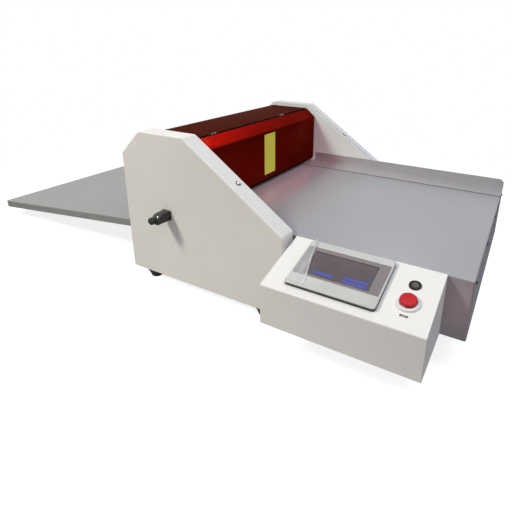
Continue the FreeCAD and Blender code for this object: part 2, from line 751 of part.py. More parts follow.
def beams():
    width = size.inner_width
    under_table = size.table_level - size.table_sheet - size.beam_depth
    sides = (size.front_beam_width, width, size.beam_depth)
    front = centred_box("front_beam", station(size.front_beam_station), level(under_table), sides)
    finish(front, "front_beam")
    under_guard = guard_top - size.acrylic - size.beam_depth
    sides = (size.top_beam_width, width, size.beam_depth)
    guard_inside = station(size.guard_rear_station + size.acrylic)
    top = centred_box("top_beam", guard_inside, level(under_guard), sides)
    finish(top, "top_beam")
    slope = (Vector(0, 1, 0), -size.tray_tilt)
    run = tray_plain
    drop = size.tray_sheet_drop
    x = station(size.tray_station) - run * cosine(size.tray_tilt) + drop * sine(size.tray_tilt)
    z = level(size.tray_level) - run * sine(size.tray_tilt) - drop * cosine(size.tray_tilt)
    sides = (size.rear_beam_width, width, size.rear_beam_height)
    rear = box("rear_beam", (x, -width / 2, z), sides, slope)
    finish(rear, "rear_beam")


# ---------------------------------------------------------------------------------------------
# creasing bed


def bed_beam():
    """The bed beam with the trough in which the anvil bar rides."""
    top = size.table_level - size.bed_drop
    sides = (size.bed_width, size.inner_width, size.bed_height)
    beam = centred_box("bed_beam_block", crease_x - sides[0] / 2, level(top - sides[2]), sides)
    trough_width = size.anvil_width + size.slide_gap * 2.0
    sides = (trough_width, size.inner_width, size.trough_depth)
    trough = centred_box("bed_beam_trough", crease_x - sides[0] / 2, level(top - sides[2]), sides)
    return finish(cut("bed_beam", beam, [trough]), "bed_beam")


def anvil_bar():
    """The anvil bar: the creasing groove on top, a channel below for the depth shaft."""
    top = size.table_level - size.anvil_drop
    length = size.inner_width - size.anvil_end_gap * 2.0
    bar_sides = (size.anvil_width, length, size.anvil_height)
    bar_x = crease_x - size.anvil_width / 2
    bar = centred_box("anvil_bar_block", bar_x, level(top - size.anvil_height), bar_sides)
    channel_height = size.anvil_height - size.anvil_top
    channel_sides = (size.anvil_width - size.anvil_leg * 2.0, length, channel_height)
    channel_x = crease_x - channel_sides[0] / 2
    channel_z = level(top - size.anvil_height)
    channel = centred_box("anvil_bar_channel", channel_x, channel_z, channel_sides)
    groove_sides = (size.groove_width, length, size.groove_depth)
    groove_x = crease_x - size.groove_width / 2
    groove = centred_box("anvil_bar_groove", groove_x, level(top - size.groove_depth), groove_sides)
    return finish(cut("anvil_bar", bar, [channel, groove]), "anvil_bar")


CAM_POINTS = 16


def cam_plate(name, low, rate, rest_turn, y_from, thickness, x, z):
    """A cam whose reach towards a flat face grows by rate for every degree of turn.

    The least reach points down, turned by rest_turn degrees towards +X.
    """
    offset = math.degrees(rate.number)

    def touch(angle):
        turn = math.radians(angle)
        reach = low.number + rate.number * abs(angle)
        drift = math.copysign(offset, angle)
        across = reach * math.sin(turn) + drift * math.cos(turn)
        up = drift * math.sin(turn) - reach * math.cos(turn)
        return Vector(across, 0, up)

    last = HALF_TURN.number - size.cam_nose.number
    angles = [last * step / CAM_POINTS for step in range(CAM_POINTS + 1)]
    edges = []
    for sign in (1.0, -1.0):
        curve = Part.BSplineCurve()
        curve.interpolate([touch(sign * angle) for angle in angles])
        edges.append(curve.toShape())
    edges.append(Part.makeLine(touch(-0.0), touch(0.0)))
    edges.append(Part.makeLine(touch(last), touch(-last)))
    wire = Part.Wire(Part.__sortEdges__(edges))
    item = doc.addObject("Part::Feature", name)
    item.Shape = Part.Face(wire).extrude(Vector(0, thickness.number, 0))
    place(item, x, y_from, z, (Vector(0, 1, 0), -rest_turn))
    return item


def depth_shaft():
    """The shaft with two cams under the anvil bar, which let it down as the knob is turned."""
    ends = (-(outer_face + size.knob_gap + size.knob_rosette_depth), cover_face)
    x, z = crease_x, level(size.depth_shaft_level)
    parts = [rod_across("depth_shaft_rod", size.depth_shaft_radius, x, z, ends)]
    rate = size.depth_travel / size.depth_turn
    room = size.anvil_drop + size.anvil_top + size.depth_shaft_level + size.cam_gap
    low = size.table_level - room - rate * (HALF_TURN - size.depth_spare)
    for side, sign in (("near", -1.0), ("far", 1.0)):
        middle = sign * (half_width - size.depth_cam_inset)
        start = middle - size.depth_cam_width / 2
        name = "depth_cam_" + side
        width = size.depth_cam_width
        parts.append(cam_plate(name, low, rate, -size.depth_spare, start, width, x, z))
    return finish(fuse("depth_shaft", parts), "depth_shaft")


def depth_knob():
    """A square knob with a finger grip, and the screw in its sloping shoulder that clamps it."""
    shaft_z = level(size.depth_shaft_level)
    x, z = crease_x, shaft_z + size.knob_rise
    foot_y = -(outer_face + size.knob_gap)
    base_y = foot_y - size.knob_rosette_depth
    tip_y = base_y - size.knob_body_depth
    side = size.knob_rosette
    corner = (x - side / 2, base_y, z - side / 2)
    rosette = box("depth_knob_rosette", corner, (side, size.knob_rosette_depth, side))
    body = doc.addObject("Part::Wedge", "depth_knob_body")
    base, tip = size.knob_body_base / 2, size.knob_body_tip / 2
    for prefix, half in (("", tip), ("2", base)):
        for axis in ("X", "Z"):
            bind(body, axis + prefix + "min", -half)
            bind(body, axis + prefix + "max", half)
    bind(body, "Ymin", -size.knob_body_depth)
    bind(body, "Ymax", ZERO)
    place(body, x, base_y, z)

    fall = (Vector(1, 0, 0), size.knob_shoulder_fall)
    run, drop = cosine(size.knob_shoulder_fall), sine(size.knob_shoulder_fall)
    top_y, top_z = base_y - size.knob_shoulder_start, z + base
    slope = (size.knob_body_depth - size.knob_shoulder_start) / run
    corner = (x - side / 2, top_y - slope * run, top_z - slope * drop)
    shoulder = box("depth_knob_shoulder", corner, (side, slope, side), fall)
    reach, deep = size.knob_screw_reach, size.knob_recess_depth
    floor = (x + size.knob_screw_offset, top_y - reach * run + deep * drop,
             top_z - reach * drop - deep * run)
    recess = rod("depth_knob_recess", size.knob_recess_radius, floor, deep * 2.0, fall)
    shaped = cut("depth_knob_shaped", body, [shoulder, recess])

    finger = rod_across("depth_knob_finger", size.knob_finger_radius,
                        x - size.knob_finger_offset, z,
                        (tip_y + size.knob_finger_root, tip_y - size.knob_finger_depth))
    knob = fuse("depth_knob_solid", [rosette, shaped, finger])
    shaft_room = rod_across("depth_knob_bore", size.depth_shaft_radius, x, shaft_z,
                            (foot_y, base_y))
    finish(cut("depth_knob", knob, [shaft_room]), "depth_knob")
    head = rod("knob_screw", size.knob_screw_radius, floor, size.knob_screw_height, fall)
    return finish(head, "knob_screw")


def ring(name, outer, inner, x, z, y_ends):
    """A sleeve along Y."""
    body = rod_across(name + "_body", outer, x, z, y_ends)
    return cut(name, body, [rod_across(name + "_bore", inner, x, z, y_ends)])


def bushes():
    """Flanged bushes in both side frames, one pair for every shaft."""
    rings = []
    for shaft, along, height, radius in shaft_places():
        x, z = station(along), level(height)
        bore = radius + size.shaft_clearance
        seat = bore + size.bearing_wall
        for side, sign in (("near", -1.0), ("far", 1.0)):
            name = "bush_%s_%s" % (shaft, side)
            face = sign * half_width
            inside = sign * (half_width - size.bearing_lip_depth)
            body = rod_across(name + "_body", seat, x, z, (face, sign * cover_face))
            lip = rod_across(name + "_lip", seat + size.bearing_lip, x, z, (inside, face))
            hole = rod_across(name + "_bore", bore, x, z, (inside, sign * cover_face))
            rings.append(cut(name, fuse(name + "_solid", [body, lip]), [hole]))
    return finish(group("shaft_bushes", rings), "shaft_bushes")


# ---------------------------------------------------------------------------------------------
# blade, its holder and the cams that press it down


def blade_and_holder():
    """The blade in its holder, with a yoke round each cam and slots for the guide rails."""
    reach = size.inner_width - size.blade_end_gap * 2.0
    sides = (size.blade_thickness, reach, size.blade_height)
    blade_x = crease_x - size.blade_thickness / 2
    blade = centred_box("blade", blade_x, level(blade_edge_level), sides)
    finish(blade, "blade")
    length = size.inner_width - size.holder_end_gap * 2.0
    sides = (size.holder_width, length, size.holder_height)
    holder_x = crease_x - size.holder_width / 2
    solids = [centred_box("holder_bar", holder_x, level(holder_level), sides)]
    width = size.yoke_window + size.yoke_wall * 2.0
    height = window_height + size.yoke_wall * 2.0
    tools = []
    slot_height = size.blade_height - size.blade_reach
    sides = (size.blade_thickness, reach, slot_height)
    tools.append(centred_box("holder_slot", blade_x, level(holder_level), sides))
    for side, sign in (("near", -1.0), ("far", 1.0)):
        y = sign * (half_width - size.cam_inset) - size.yoke_thickness / 2
        corner = (crease_x - width / 2, y, level(yoke_level))
        solids.append(box("yoke_" + side, corner, (width, size.yoke_thickness, height)))
        corner = (crease_x - size.yoke_window / 2, y, level(yoke_level + size.yoke_wall))
        window = (size.yoke_window, size.yoke_thickness, window_height)
        tools.append(box("yoke_window_" + side, corner, window))
        rail_room = size.guide_width + size.slide_gap * 2.0
        depth = size.guide_depth + size.slide_gap
        end = sorted((sign * half_width, sign * (half_width - depth)), key=lambda y: y.number)[0]
        corner = (crease_x - rail_room / 2, end, level(holder_level))
        tools.append(box("rail_slot_" + side, corner, (rail_room, depth, size.holder_height)))
    return finish(cut("blade_holder", fuse("holder_solid", solids), tools), "blade_holder")


def guide_rails():
    rails = []
    for side, sign in (("near", -1.0), ("far", 1.0)):
        start = sign * half_width - (size.guide_depth if sign > 0 else 0.0)
        corner = (crease_x - size.guide_width / 2, start, level(holder_level + size.guide_rise))
        sides = (size.guide_width, size.guide_depth, size.guide_height)
        rails.append(box("guide_rail_" + side, corner, sides))
    return finish(group("guide_rails", rails), "guide_rails")


def pulley(name, radius, x, z, face, sign, bore=None):
    """A flanged belt pulley outside a side frame; face is its inner end."""
    flange = radius + size.flange_height
    far_face = face + sign * size.pulley_width
    seats = (
        (name + "_seat", radius, face, far_face),
        (name + "_inner_flange", flange, face, face + sign * size.flange_width),
        (name + "_outer_flange", flange, far_face - sign * size.flange_width, far_face),
    )
    solid = fuse(name + "_solid", [rod_across(part, r, x, z, (a, b)) for part, r, a, b in seats])
    return cut(name, solid, [rod_across(name + "_bore", bore, x, z, (face, far_face))])


def belt(name, centres, radius, sign):
    """A flat closed belt round equal pulleys, whose centres run anticlockwise seen along +Y."""
    face = sign * (cover_face + size.pulley_gap)
    middle = face + sign * size.pulley_width / 2
    start = middle - size.belt_width / 2
    loops = []
    inner = radius.number + size.belt_gap.number
    for reach in (inner, inner + size.belt_thickness.number):
        spots = [Vector(x.number, start.number, z.number) for x, z in centres]
        edges = []
        normals = []
        for index, spot in enumerate(spots):
            heading = (spots[(index + 1) % len(spots)] - spot).normalize()
            normals.append(Vector(heading.z, 0, -heading.x) * reach)
        for index, spot in enumerate(spots):
            following = spots[(index + 1) % len(spots)]
            after = normals[(index + 1) % len(spots)]
            edges.append(Part.makeLine(spot + normals[index], following + normals[index]))
            half = (normals[index] + after)
            if half.Length < 0.001:
                half = (following - spot)
            middle_point = following + half.normalize() * reach
            arc = Part.Arc(following + normals[index], middle_point, following + after)
            edges.append(arc.toShape())
        loops.append(Part.Face(Part.Wire(edges)).extrude(Vector(0, size.belt_width.number, 0)))
    item = doc.addObject("Part::Feature", name)
    item.Shape = loops[1].cut(loops[0])
    return finish(item, name)


def crease_drive():
    """Cam shaft, its two cams, and the gear motor that turns it by a belt on the far side."""
    x, z = crease_x, level(cam_level)
    face = cover_face + size.pulley_gap
    end = face + size.pulley_width
    shaft = rod_across("cam_shaft", size.cam_shaft_radius, x, z, (-cover_face, end))
    finish(shaft, "cam_shaft")
    cams = []
    for side, sign in (("near", -1.0), ("far", 1.0)):
        start = sign * (half_width - size.cam_inset) - size.cam_thickness / 2
        args = (size.cam_low, cam_rate, ZERO, start, size.cam_thickness, x, z)
        solid = cam_plate("cam_plate_" + side, *args)
        bore = rod_across("cam_bore_" + side, size.cam_shaft_radius, x, z,
                          (start, start + size.cam_thickness))
        cams.append(cut("cam_" + side, solid, [bore]))
    finish(group("lift_cams", cams), "lift_cams")
    radius = size.crease_pulley_radius
    finish(pulley("cam_pulley", radius, x, z, face, 1.0, size.cam_shaft_radius), "cam_pulley")
    motor_x, motor_z = station(size.crease_motor_station), level(size.crease_motor_level)
    ends = (half_width - size.crease_motor_length, half_width)
    barrel = rod_across("crease_motor_barrel", size.crease_motor_radius, motor_x, motor_z, ends)
    ends = (half_width, half_width - size.motor_socket)
    socket = rod_across("crease_motor_socket", motor_bore, motor_x, motor_z, ends)
    finish(cut("crease_motor", barrel, [socket]), "crease_motor")
    ends = (half_width - size.motor_socket, end)
    stub = rod_across("crease_motor_stub", size.motor_shaft_radius, motor_x, motor_z, ends)
    wheel = pulley("crease_motor_wheel", radius, motor_x, motor_z, face, 1.0,
                   size.motor_shaft_radius)
    finish(fuse("crease_motor_pulley", [stub, wheel]), "crease_motor_pulley")
    belt("crease_belt", ((motor_x, motor_z), (x, z)), radius, 1.0)


# ---------------------------------------------------------------------------------------------
# feed rollers


def rollers():
    """Two rubber-covered drive rollers under the paper and a steel pinch roller above each."""
    face = -(cover_face + size.pulley_gap)
    outer = face - size.pulley_width
    body_end = half_width - size.roller_end_gap
    for shaft, along, height, radius in shaft_places()[:4]:
        x, z = station(along), level(height)
        driven = shaft.endswith("drive")
        body = size.drive_roller_radius - size.rubber_thickness if driven else size.pinch_radius
        near_end = outer if driven else -cover_face
        parts = [
            rod_across(shaft + "_journals", radius, x, z, (near_end, cover_face)),
            rod_across(shaft + "_core", body, x, z, (-body_end, body_end)),
        ]
        finish(fuse(shaft + "_roller", parts), shaft + "_roller")
        if driven:
            sleeve = ring(shaft + "_rubber", size.drive_roller_radius, body, x, z,
                          (-body_end, body_end))
            finish(sleeve, shaft + "_rubber")
            wheel = pulley(shaft + "_pulley", size.feed_pulley_radius, x, z, face, -1.0,
                           size.journal_radius)
            finish(wheel, shaft + "_pulley")


def feed_drive():
    """A stepping motor on the near frame turns both drive rollers by one belt."""
    x, z = crease_x, level(size.feed_motor_level)
    face = -(cover_face + size.pulley_gap)
    side = size.feed_motor_square
    corner = (x - side / 2, -half_width, z - side / 2)
    block = box("feed_motor_block", corner, (side, size.feed_motor_length, side))
    ends = (-half_width, -half_width + size.motor_socket)
    socket = rod_across("feed_motor_socket", motor_bore, x, z, ends)
    finish(cut("feed_motor", block, [socket]), "feed_motor")
    ends = (-half_width + size.motor_socket, face - size.pulley_width)
    stub = rod_across("feed_motor_stub", size.motor_shaft_radius, x, z, ends)
    wheel = pulley("feed_motor_wheel", size.feed_pulley_radius, x, z, face, -1.0,
                   size.motor_shaft_radius)
    finish(fuse("feed_motor_pulley", [stub, wheel]), "feed_motor_pulley")
    places = shaft_places()
    infeed = (station(places[0][1]), level(places[0][2]))
    outfeed = (station(places[2][1]), level(places[2][2]))
    belt("feed_belt", ((x, z), infeed, outfeed), size.feed_pulley_radius, -1.0)


# ---------------------------------------------------------------------------------------------
# red guard, hinged cover and hinges


def red_sheets():
    """The fixed guard over the creasing line and the hinged cover in front of it."""
    thick = size.acrylic
    rear = station(size.guard_rear_station)
    front = station(size.hinge_station) - size.hinge_gap
    low = level(size.guard_rear_level)
    top = level(guard_top)
    points = [(rear, low), (rear + thick, low), (rear + thick, top - thick),
              (front, top - thick), (front, top), (rear, top)]
    width = (half_width - size.guard_side_gap) * 2.0
    guard = outline_body("guard", "XZ_Plane", points, width, centred=True)
    round_body(guard, size.fold_radius, through([(rear, top)], "x", "z"))
    finish(guard, "guard")
    start = station(size.hinge_station) + size.hinge_gap
    front = station(size.hinge_station) + size.cover_run
    low = level(size.table_level + size.cover_clearance)
    fall = tangent(size.cover_tilt)
    under = thick / cosine(size.cover_tilt)
    start_top = top - size.hinge_gap * fall
    fold_top = top - size.cover_run * fall
    fold_under = top - (size.cover_run - thick) * fall - under
    points = [(start, start_top), (start, start_top - under), (front - thick, fold_under),
              (front - thick, low), (front, low), (front, fold_top)]
    width = (half_width - size.cover_side_gap) * 2.0
    cover = outline_body("front_cover", "XZ_Plane", points, width, centred=True)
    round_body(cover, size.fold_radius, through([(front, fold_top)], "x", "z"))

    def at_low_corner(edge):
        flat = runs_along(edge, Vector(1, 0, 0))
        return flat and abs(edge.BoundBox.ZMax - low.number) < 0.01

    round_body(cover, size.cover_corner, at_low_corner)
    finish(cover, "front_cover")


def cover_rests():
    """Blocks on the side frames that the closed cover hangs against."""
    blocks = []
    width = size.rest_width
    x = station(size.hinge_station) + size.cover_run - size.acrylic - size.rest_gap - width
    for side, sign in (("near", -1.0), ("far", 1.0)):
        start = sign * half_width - (width if sign > 0 else 0.0)
        corner = (x, start, level(size.rest_level))
        blocks.append(box("cover_rest_" + side, corner, (width, width, size.rest_height)))
    return finish(group("cover_rests", blocks), "cover_rests")


def hinges():
    """Two small butt hinges in the gap between the guard and the cover, level with their tops."""
    x = station(size.hinge_station)
    z = level(guard_top)
    third = size.hinge_length / 3.0
    slope = (Vector(0, 1, 0), size.cover_tilt)
    bore_radius = size.pin_radius + size.pin_clearance
    leaf_z = z - size.acrylic - size.leaf
    fixed_tab_x = x - size.knuckle_radius
    moving_tab_x = x + size.knuckle_radius - size.leaf
    under = size.acrylic / cosine(size.cover_tilt) + size.hinge_gap * tangent(size.cover_tilt)
    back = size.hinge_gap - size.knuckle_radius + size.leaf
    moving_x = x + size.hinge_gap - size.leaf * sine(size.cover_tilt) - back * cosine(size.cover_tilt)
    moving_z = z - under - size.leaf * cosine(size.cover_tilt) + back * sine(size.cover_tilt)
    fixed, moving, pins = [], [], []
    for side, middle in (("near", size.near_hinge_offset - half_width),
                         ("far", half_width - size.far_hinge_offset)):
        start = middle - size.hinge_length / 2
        inner = start + third + size.knuckle_gap
        inner_end = start + third * 2.0 - size.knuckle_gap
        end = start + size.hinge_length
        name = "hinge_%s_" % side
        bore = rod_across(name + "fixed_bore", bore_radius, x, z, (start, end))
        reach = size.leaf_reach - size.knuckle_radius + size.leaf
        solids = [box(name + "fixed_leaf", (x - size.leaf_reach, start, leaf_z),
                      (reach, size.hinge_length, size.leaf))]
        for number, (low, high) in enumerate(((start, start + third), (start + third * 2.0, end))):
            solids.append(rod_across(name + "fixed_knuckle_%d" % number, size.knuckle_radius, x, z,
                                     (low, high)))
            solids.append(box(name + "fixed_tab_%d" % number, (fixed_tab_x, low, leaf_z),
                              (size.leaf, high - low, z - leaf_z)))
        fixed.append(cut(name + "fixed", fuse(name + "fixed_solid", solids), [bore]))
        leaf = box(name + "moving_leaf", (moving_x, start, moving_z),
                   (size.leaf_reach, size.hinge_length, size.leaf), slope)
        knuckle = rod_across(name + "moving_knuckle", size.knuckle_radius, x, z,
                             (inner, inner_end))
        tab = box(name + "moving_tab", (moving_tab_x, inner, z - under),
                  (size.leaf, inner_end - inner, under))
        bore = rod_across(name + "moving_bore", bore_radius, x, z, (start, end))
        solid = fuse(name + "moving_solid", [leaf, knuckle, tab])
        moving.append(cut(name + "moving", solid, [bore]))
        pins.append(rod_across(name + "pin", size.pin_radius, x, z, (start, end)))
    finish(group("hinge_leaves_fixed", fixed), "hinge_leaves_fixed")
    finish(group("hinge_leaves_moving", moving), "hinge_leaves_moving")
    finish(group("hinge_pins", pins), "hinge_pins")


# ---------------------------------------------------------------------------------------------
# infeed table, side guide and outfeed tray


def skirted_sheet(name, direction, plain, length, half_span, depth):
    """A flat sheet along X whose sides and end are folded down beyond a plain first part.

    The top surface is at Z = 0 and the sheet starts at X = 0.
    """
    gauge = size.table_sheet

    def lengthwise(start, end):
        return direction * (start if direction > 0 else end)

    def block(part, start, end, inset, height, top):
        corner = (lengthwise(start, end), -(half_span - inset), top - height)
        sides = (end - start, (half_span - inset) * 2.0, height)
        return box(name + part, corner, sides)

    def folded(edge):
        ends = (edge.BoundBox.XMin, edge.BoundBox.XMax)
        if direction * ends[0] < plain.number + 0.01 and runs_along(edge, Vector(0, 1, 0)):
            return False
        low = edge.BoundBox.ZMax < -depth.number / 2.0
        at_plain = all(abs(direction * end - plain.number) < 0.01 for end in ends)
        return not low and not at_plain

    outer = block("_outer", plain, length, ZERO, depth, ZERO)
    outer = rounded(name + "_outer_bends", outer, size.table_bend, folded)
    inner = block("_inner", plain, length - gauge, gauge, depth, -gauge)
    inner = rounded(name + "_inner_bends", inner, size.table_bend - gauge, folded)
    skirts = cut(name + "_skirts", outer, [inner])
    plate = block("_plate", ZERO, plain, ZERO, gauge, ZERO)
    return fuse(name, [plate, skirts])


def infeed_table():
    """The table, the stiffening bar behind its end, and the four screws that hold the bar."""
    plain = size.casing_depth + size.skirt_gap - size.table_start_station
    length = size.table_end_station - size.table_start_station
    outer_x = station(size.table_end_station)
    sheet = skirted_sheet("table_sheet", 1.0, plain, length, table_edge_y, size.apron_drop)
    place(sheet, station(size.table_start_station), ZERO, paper_plane)
    width = (table_edge_y - size.table_bend) * 2.0
    bar_top = paper_plane - size.table_bend
    bar_x = outer_x - size.table_sheet - size.end_bar_width
    bar = centred_box("end_bar_block", bar_x, bar_top - size.end_bar_height,
                      (size.end_bar_width, width, size.end_bar_height))
    head = (size.end_screw_head, size.end_screw_height)
    shank = (size.end_shank_radius, size.end_shank_length)
    z = paper_plane - size.end_screw_drop
    reach = table_edge_y - size.end_screw_inset
    screws, wall_holes, bar_holes = [], [], []
    for number, share in enumerate((-1.0, -1.0 / 3.0, 1.0 / 3.0, 1.0)):

        def into(depth, y=share * reach):
            return outer_x - depth, y, z

        name = "table_screw_%d" % number
        screws.append(screw(name, head, shank, into, ALONG_X))
        room = shank[0] + size.screw_hole_gap
        wall_holes.append(rod(name + "_room", room, into(shank[1]), shank[1], ALONG_X))
        bar_holes.append(rod(name + "_thread", shank[0], into(shank[1]), shank[1], ALONG_X))
    finish(cut("infeed_table", sheet, wall_holes), "infeed_table")
    finish(cut("table_end_bar", bar, bar_holes), "table_end_bar")
    finish(group("table_screws", screws), "table_screws")


def side_guide():
    """A folded strip on the table's far edge that squares the sheet."""
    gauge = size.table_sheet
    outer = half_width - size.guide_side_gap
    points = [(outer, paper_plane), (outer, paper_plane + size.guide_fence),
              (outer - gauge, paper_plane + size.guide_fence), (outer - gauge, paper_plane + gauge),
              (outer - size.guide_strip, paper_plane + gauge),
              (outer - size.guide_strip, paper_plane)]
    start = station(size.table_start_station)
    end = station(size.table_end_station)
    strip = outline_body("side_guide_strip", "YZ_Plane", points, end - start)
    place(strip, start, ZERO, ZERO)
    fence_start = station(size.hinge_station + size.cover_run + size.guide_start_gap)
    corner = (start, outer - gauge, paper_plane + gauge)
    opening = box("side_guide_opening", corner, (fence_start - start, gauge, size.guide_fence))
    reach = size.guide_end_chamfer * math.sqrt(2.0)
    spot = (end - size.guide_end_chamfer, outer - gauge, paper_plane + size.guide_fence)
    bevel = box("side_guide_bevel", spot, (reach, gauge, reach), (Vector(0, 1, 0), LEFT_TURN / 2))
    guide = cut("side_guide_square", strip, [opening, bevel])
    fence_top = paper_plane + size.guide_fence

    def starts_fence(edge):
        spot = edge.CenterOfMass
        across = runs_along(edge, Vector(0, 1, 0))
        return across and math.dist((spot.x, spot.z), (fence_start.number, fence_top.number)) < 0.01

    guide = rounded("side_guide", guide, size.guide_start_radius, starts_fence)
    return finish(guide, "side_guide")


def outfeed_tray():
    span = half_width - size.tray_side_gap
    length = size.tray_length
    tray = skirted_sheet("outfeed_tray", -1.0, tray_plain, length, span, size.tray_flange)
    slope = (Vector(0, 1, 0), -size.tray_tilt)
    place(tray, station(size.tray_station), ZERO, level(size.tray_level), slope)
    return finish(tray, "outfeed_tray")


# ---------------------------------------------------------------------------------------------
# control box


def panel_rod(name, radius, along, rise, low, high):
    """A rod square to the control panel, between two heights over it."""
    return rod(name, radius, on_panel(along, rise, low), high - low, TILTED)


def panel_box(name, along, rise, low, sides):
    return box(name, on_panel(along, rise, low), sides, TILTED)


def control_box():
    """The folded box on the table's near skirt, open towards the skirt."""
    back_y = -table_edge_y
    low = paper_plane - size.apron_drop
    tilt = size.panel_tilt

    def box_body(name, wall):
        back_top = paper_plane - wall / cosine(tilt)
        front_top = panel_front_z - wall / cosine(tilt) + wall * tangent(tilt)
        points = [(panel_front_y + wall, low + wall), (back_y, low + wall), (back_y, back_top),
                  (panel_front_y + wall, front_top)]
        solid = outline_body(name, "YZ_Plane", points, size.box_length - wall * 2.0)
        bends = through(points[:1] + points[3:], "y", "z")
        round_body(solid, size.box_edge_radius - wall, bends)
        place(solid, box_left + wall, ZERO, ZERO)
        return solid

    outer = box_body("control_box_outer", ZERO)
    inner = box_body("control_box_inner", size.box_sheet)
    depth = size.box_sheet * 2.0
    rim = size.touch_rim - size.slide_gap
    sides = (size.touch_length - rim * 2.0, size.touch_width - rim * 2.0, depth * 2.0)
    corner = (size.touch_offset + rim, size.touch_rise + rim)
    window = panel_box("control_box_window", *corner, -depth, sides)
    holes = [window]
    for name, rise, radius in (("stop", size.stop_rise, stop_barrel),
                               ("start", size.start_rise, start_barrel)):
        hole = radius + size.panel_hole_gap
        holes.append(panel_rod("hole_" + name, hole, size.button_offset, rise, -depth, depth))
    return finish(cut("control_box", outer, [inner] + holes), "control_box")


def touch_panel():
    """The touch panel: gasket, bezel with its housing behind the panel, and the screen."""
    inset = size.gasket_inset
    rim = size.touch_rim
    opening = (size.touch_length - rim * 2.0, size.touch_width - rim * 2.0)
    sides = (size.touch_length - inset * 2.0, size.touch_width - inset * 2.0, size.gasket)
    ring_outer = panel_box("touch_gasket_outer", size.touch_offset + inset, size.touch_rise + inset,
                           ZERO, sides)
    ring_inner = panel_box("touch_gasket_inner", size.touch_offset + rim, size.touch_rise + rim,
                           ZERO, opening + (size.gasket,))
    finish(cut("touch_gasket", ring_outer, [ring_inner]), "touch_gasket")
    sides = (size.touch_length, size.touch_width, size.touch_depth)
    bezel = panel_box("touch_bezel_block", size.touch_offset, size.touch_rise, size.gasket, sides)
    normal = Vector(0, -sine(size.panel_tilt).number, cosine(size.panel_tilt).number)
    bezel = rounded("touch_bezel_corners", bezel, size.touch_corner,
                    lambda edge: runs_along(edge, normal))
    back = opening + (size.gasket + size.housing_depth,)
    housing = panel_box("touch_housing", size.touch_offset + rim, size.touch_rise + rim,
                        -size.housing_depth, back)
    along = size.touch_offset + size.screen_side
    rise = size.touch_rise + size.screen_rise
    face = size.gasket + size.touch_depth
    pocket_floor = face - size.screen_recess - size.screen_glass
    pocket_sides = (size.screen_length, size.screen_width, size.screen_recess + size.screen_glass)
    pocket = panel_box("touch_pocket", along, rise, pocket_floor, pocket_sides)
    bezel = fuse("touch_bezel_solid", [bezel, housing])
    finish(cut("touch_bezel", bezel, [pocket]), "touch_bezel")
    glass_sides = (size.screen_length, size.screen_width, size.screen_glass)
    finish(panel_box("touch_screen", along, rise, pocket_floor, glass_sides), "touch_screen")


def buttons():
    """The stop button in its collar, and the flush push-button above it."""
    along = size.button_offset
    rise = size.stop_rise
    ring_solid = panel_rod("stop_ring", size.collar_radius, along, rise, ZERO, size.collar_height)
    barrel = panel_rod("stop_barrel", stop_barrel, along, rise, -size.stop_barrel_depth, ZERO)
    recess = panel_rod("stop_recess", size.collar_bore, along, rise, size.collar_floor,
                       size.collar_height)
    bore_radius = size.stop_stem_radius + size.stem_clearance
    bore = panel_rod("stop_bore", bore_radius, along, rise, -size.stop_barrel_depth,
                     size.collar_floor)
    collar = fuse("stop_collar_solid", [ring_solid, barrel])
    finish(cut("stop_collar", collar, [recess, bore]), "stop_collar")
    top = size.stop_cap_lift + size.stop_cap_height
    cap = panel_rod("stop_mushroom", size.stop_cap_radius, along, rise, size.stop_cap_lift, top)
    stem = panel_rod("stop_stem", size.stop_stem_radius, along, rise, -size.stem_depth,
                     size.stop_cap_lift)
    finish(fuse("stop_cap", [cap, stem]), "stop_cap")
    rise = size.start_rise
    bezel = panel_rod("start_ring", size.start_bezel_radius, along, rise, ZERO,
                      size.start_bezel_height)
    barrel = panel_rod("start_barrel", start_barrel, along, rise, -size.start_barrel_depth, ZERO)
    bore = panel_rod("start_bore", size.start_cap_radius + size.stem_clearance, along, rise,
                     -size.start_barrel_depth, size.start_bezel_height)
    solid = fuse("start_bezel_solid", [bezel, barrel])
    finish(cut("start_bezel", solid, [bore]), "start_bezel")
    cap = panel_rod("start_cap", size.start_cap_radius, along, rise, -size.start_cap_depth,
                    size.start_cap_lift)
    finish(cap, "start_cap")
    blocks = []
    side = size.contact_block
    for name, rise, depth in (("stop", size.stop_rise, size.stop_barrel_depth),
                              ("start", size.start_rise, size.start_barrel_depth)):
        low = -(depth + size.contact_depth)
        sides = (side, side, size.contact_depth)
        blocks.append(panel_box(name + "_contact", along - side / 2, rise - side / 2, low, sides))
    finish(group("button_contacts", blocks), "button_contacts")


# ---------------------------------------------------------------------------------------------
# electrics


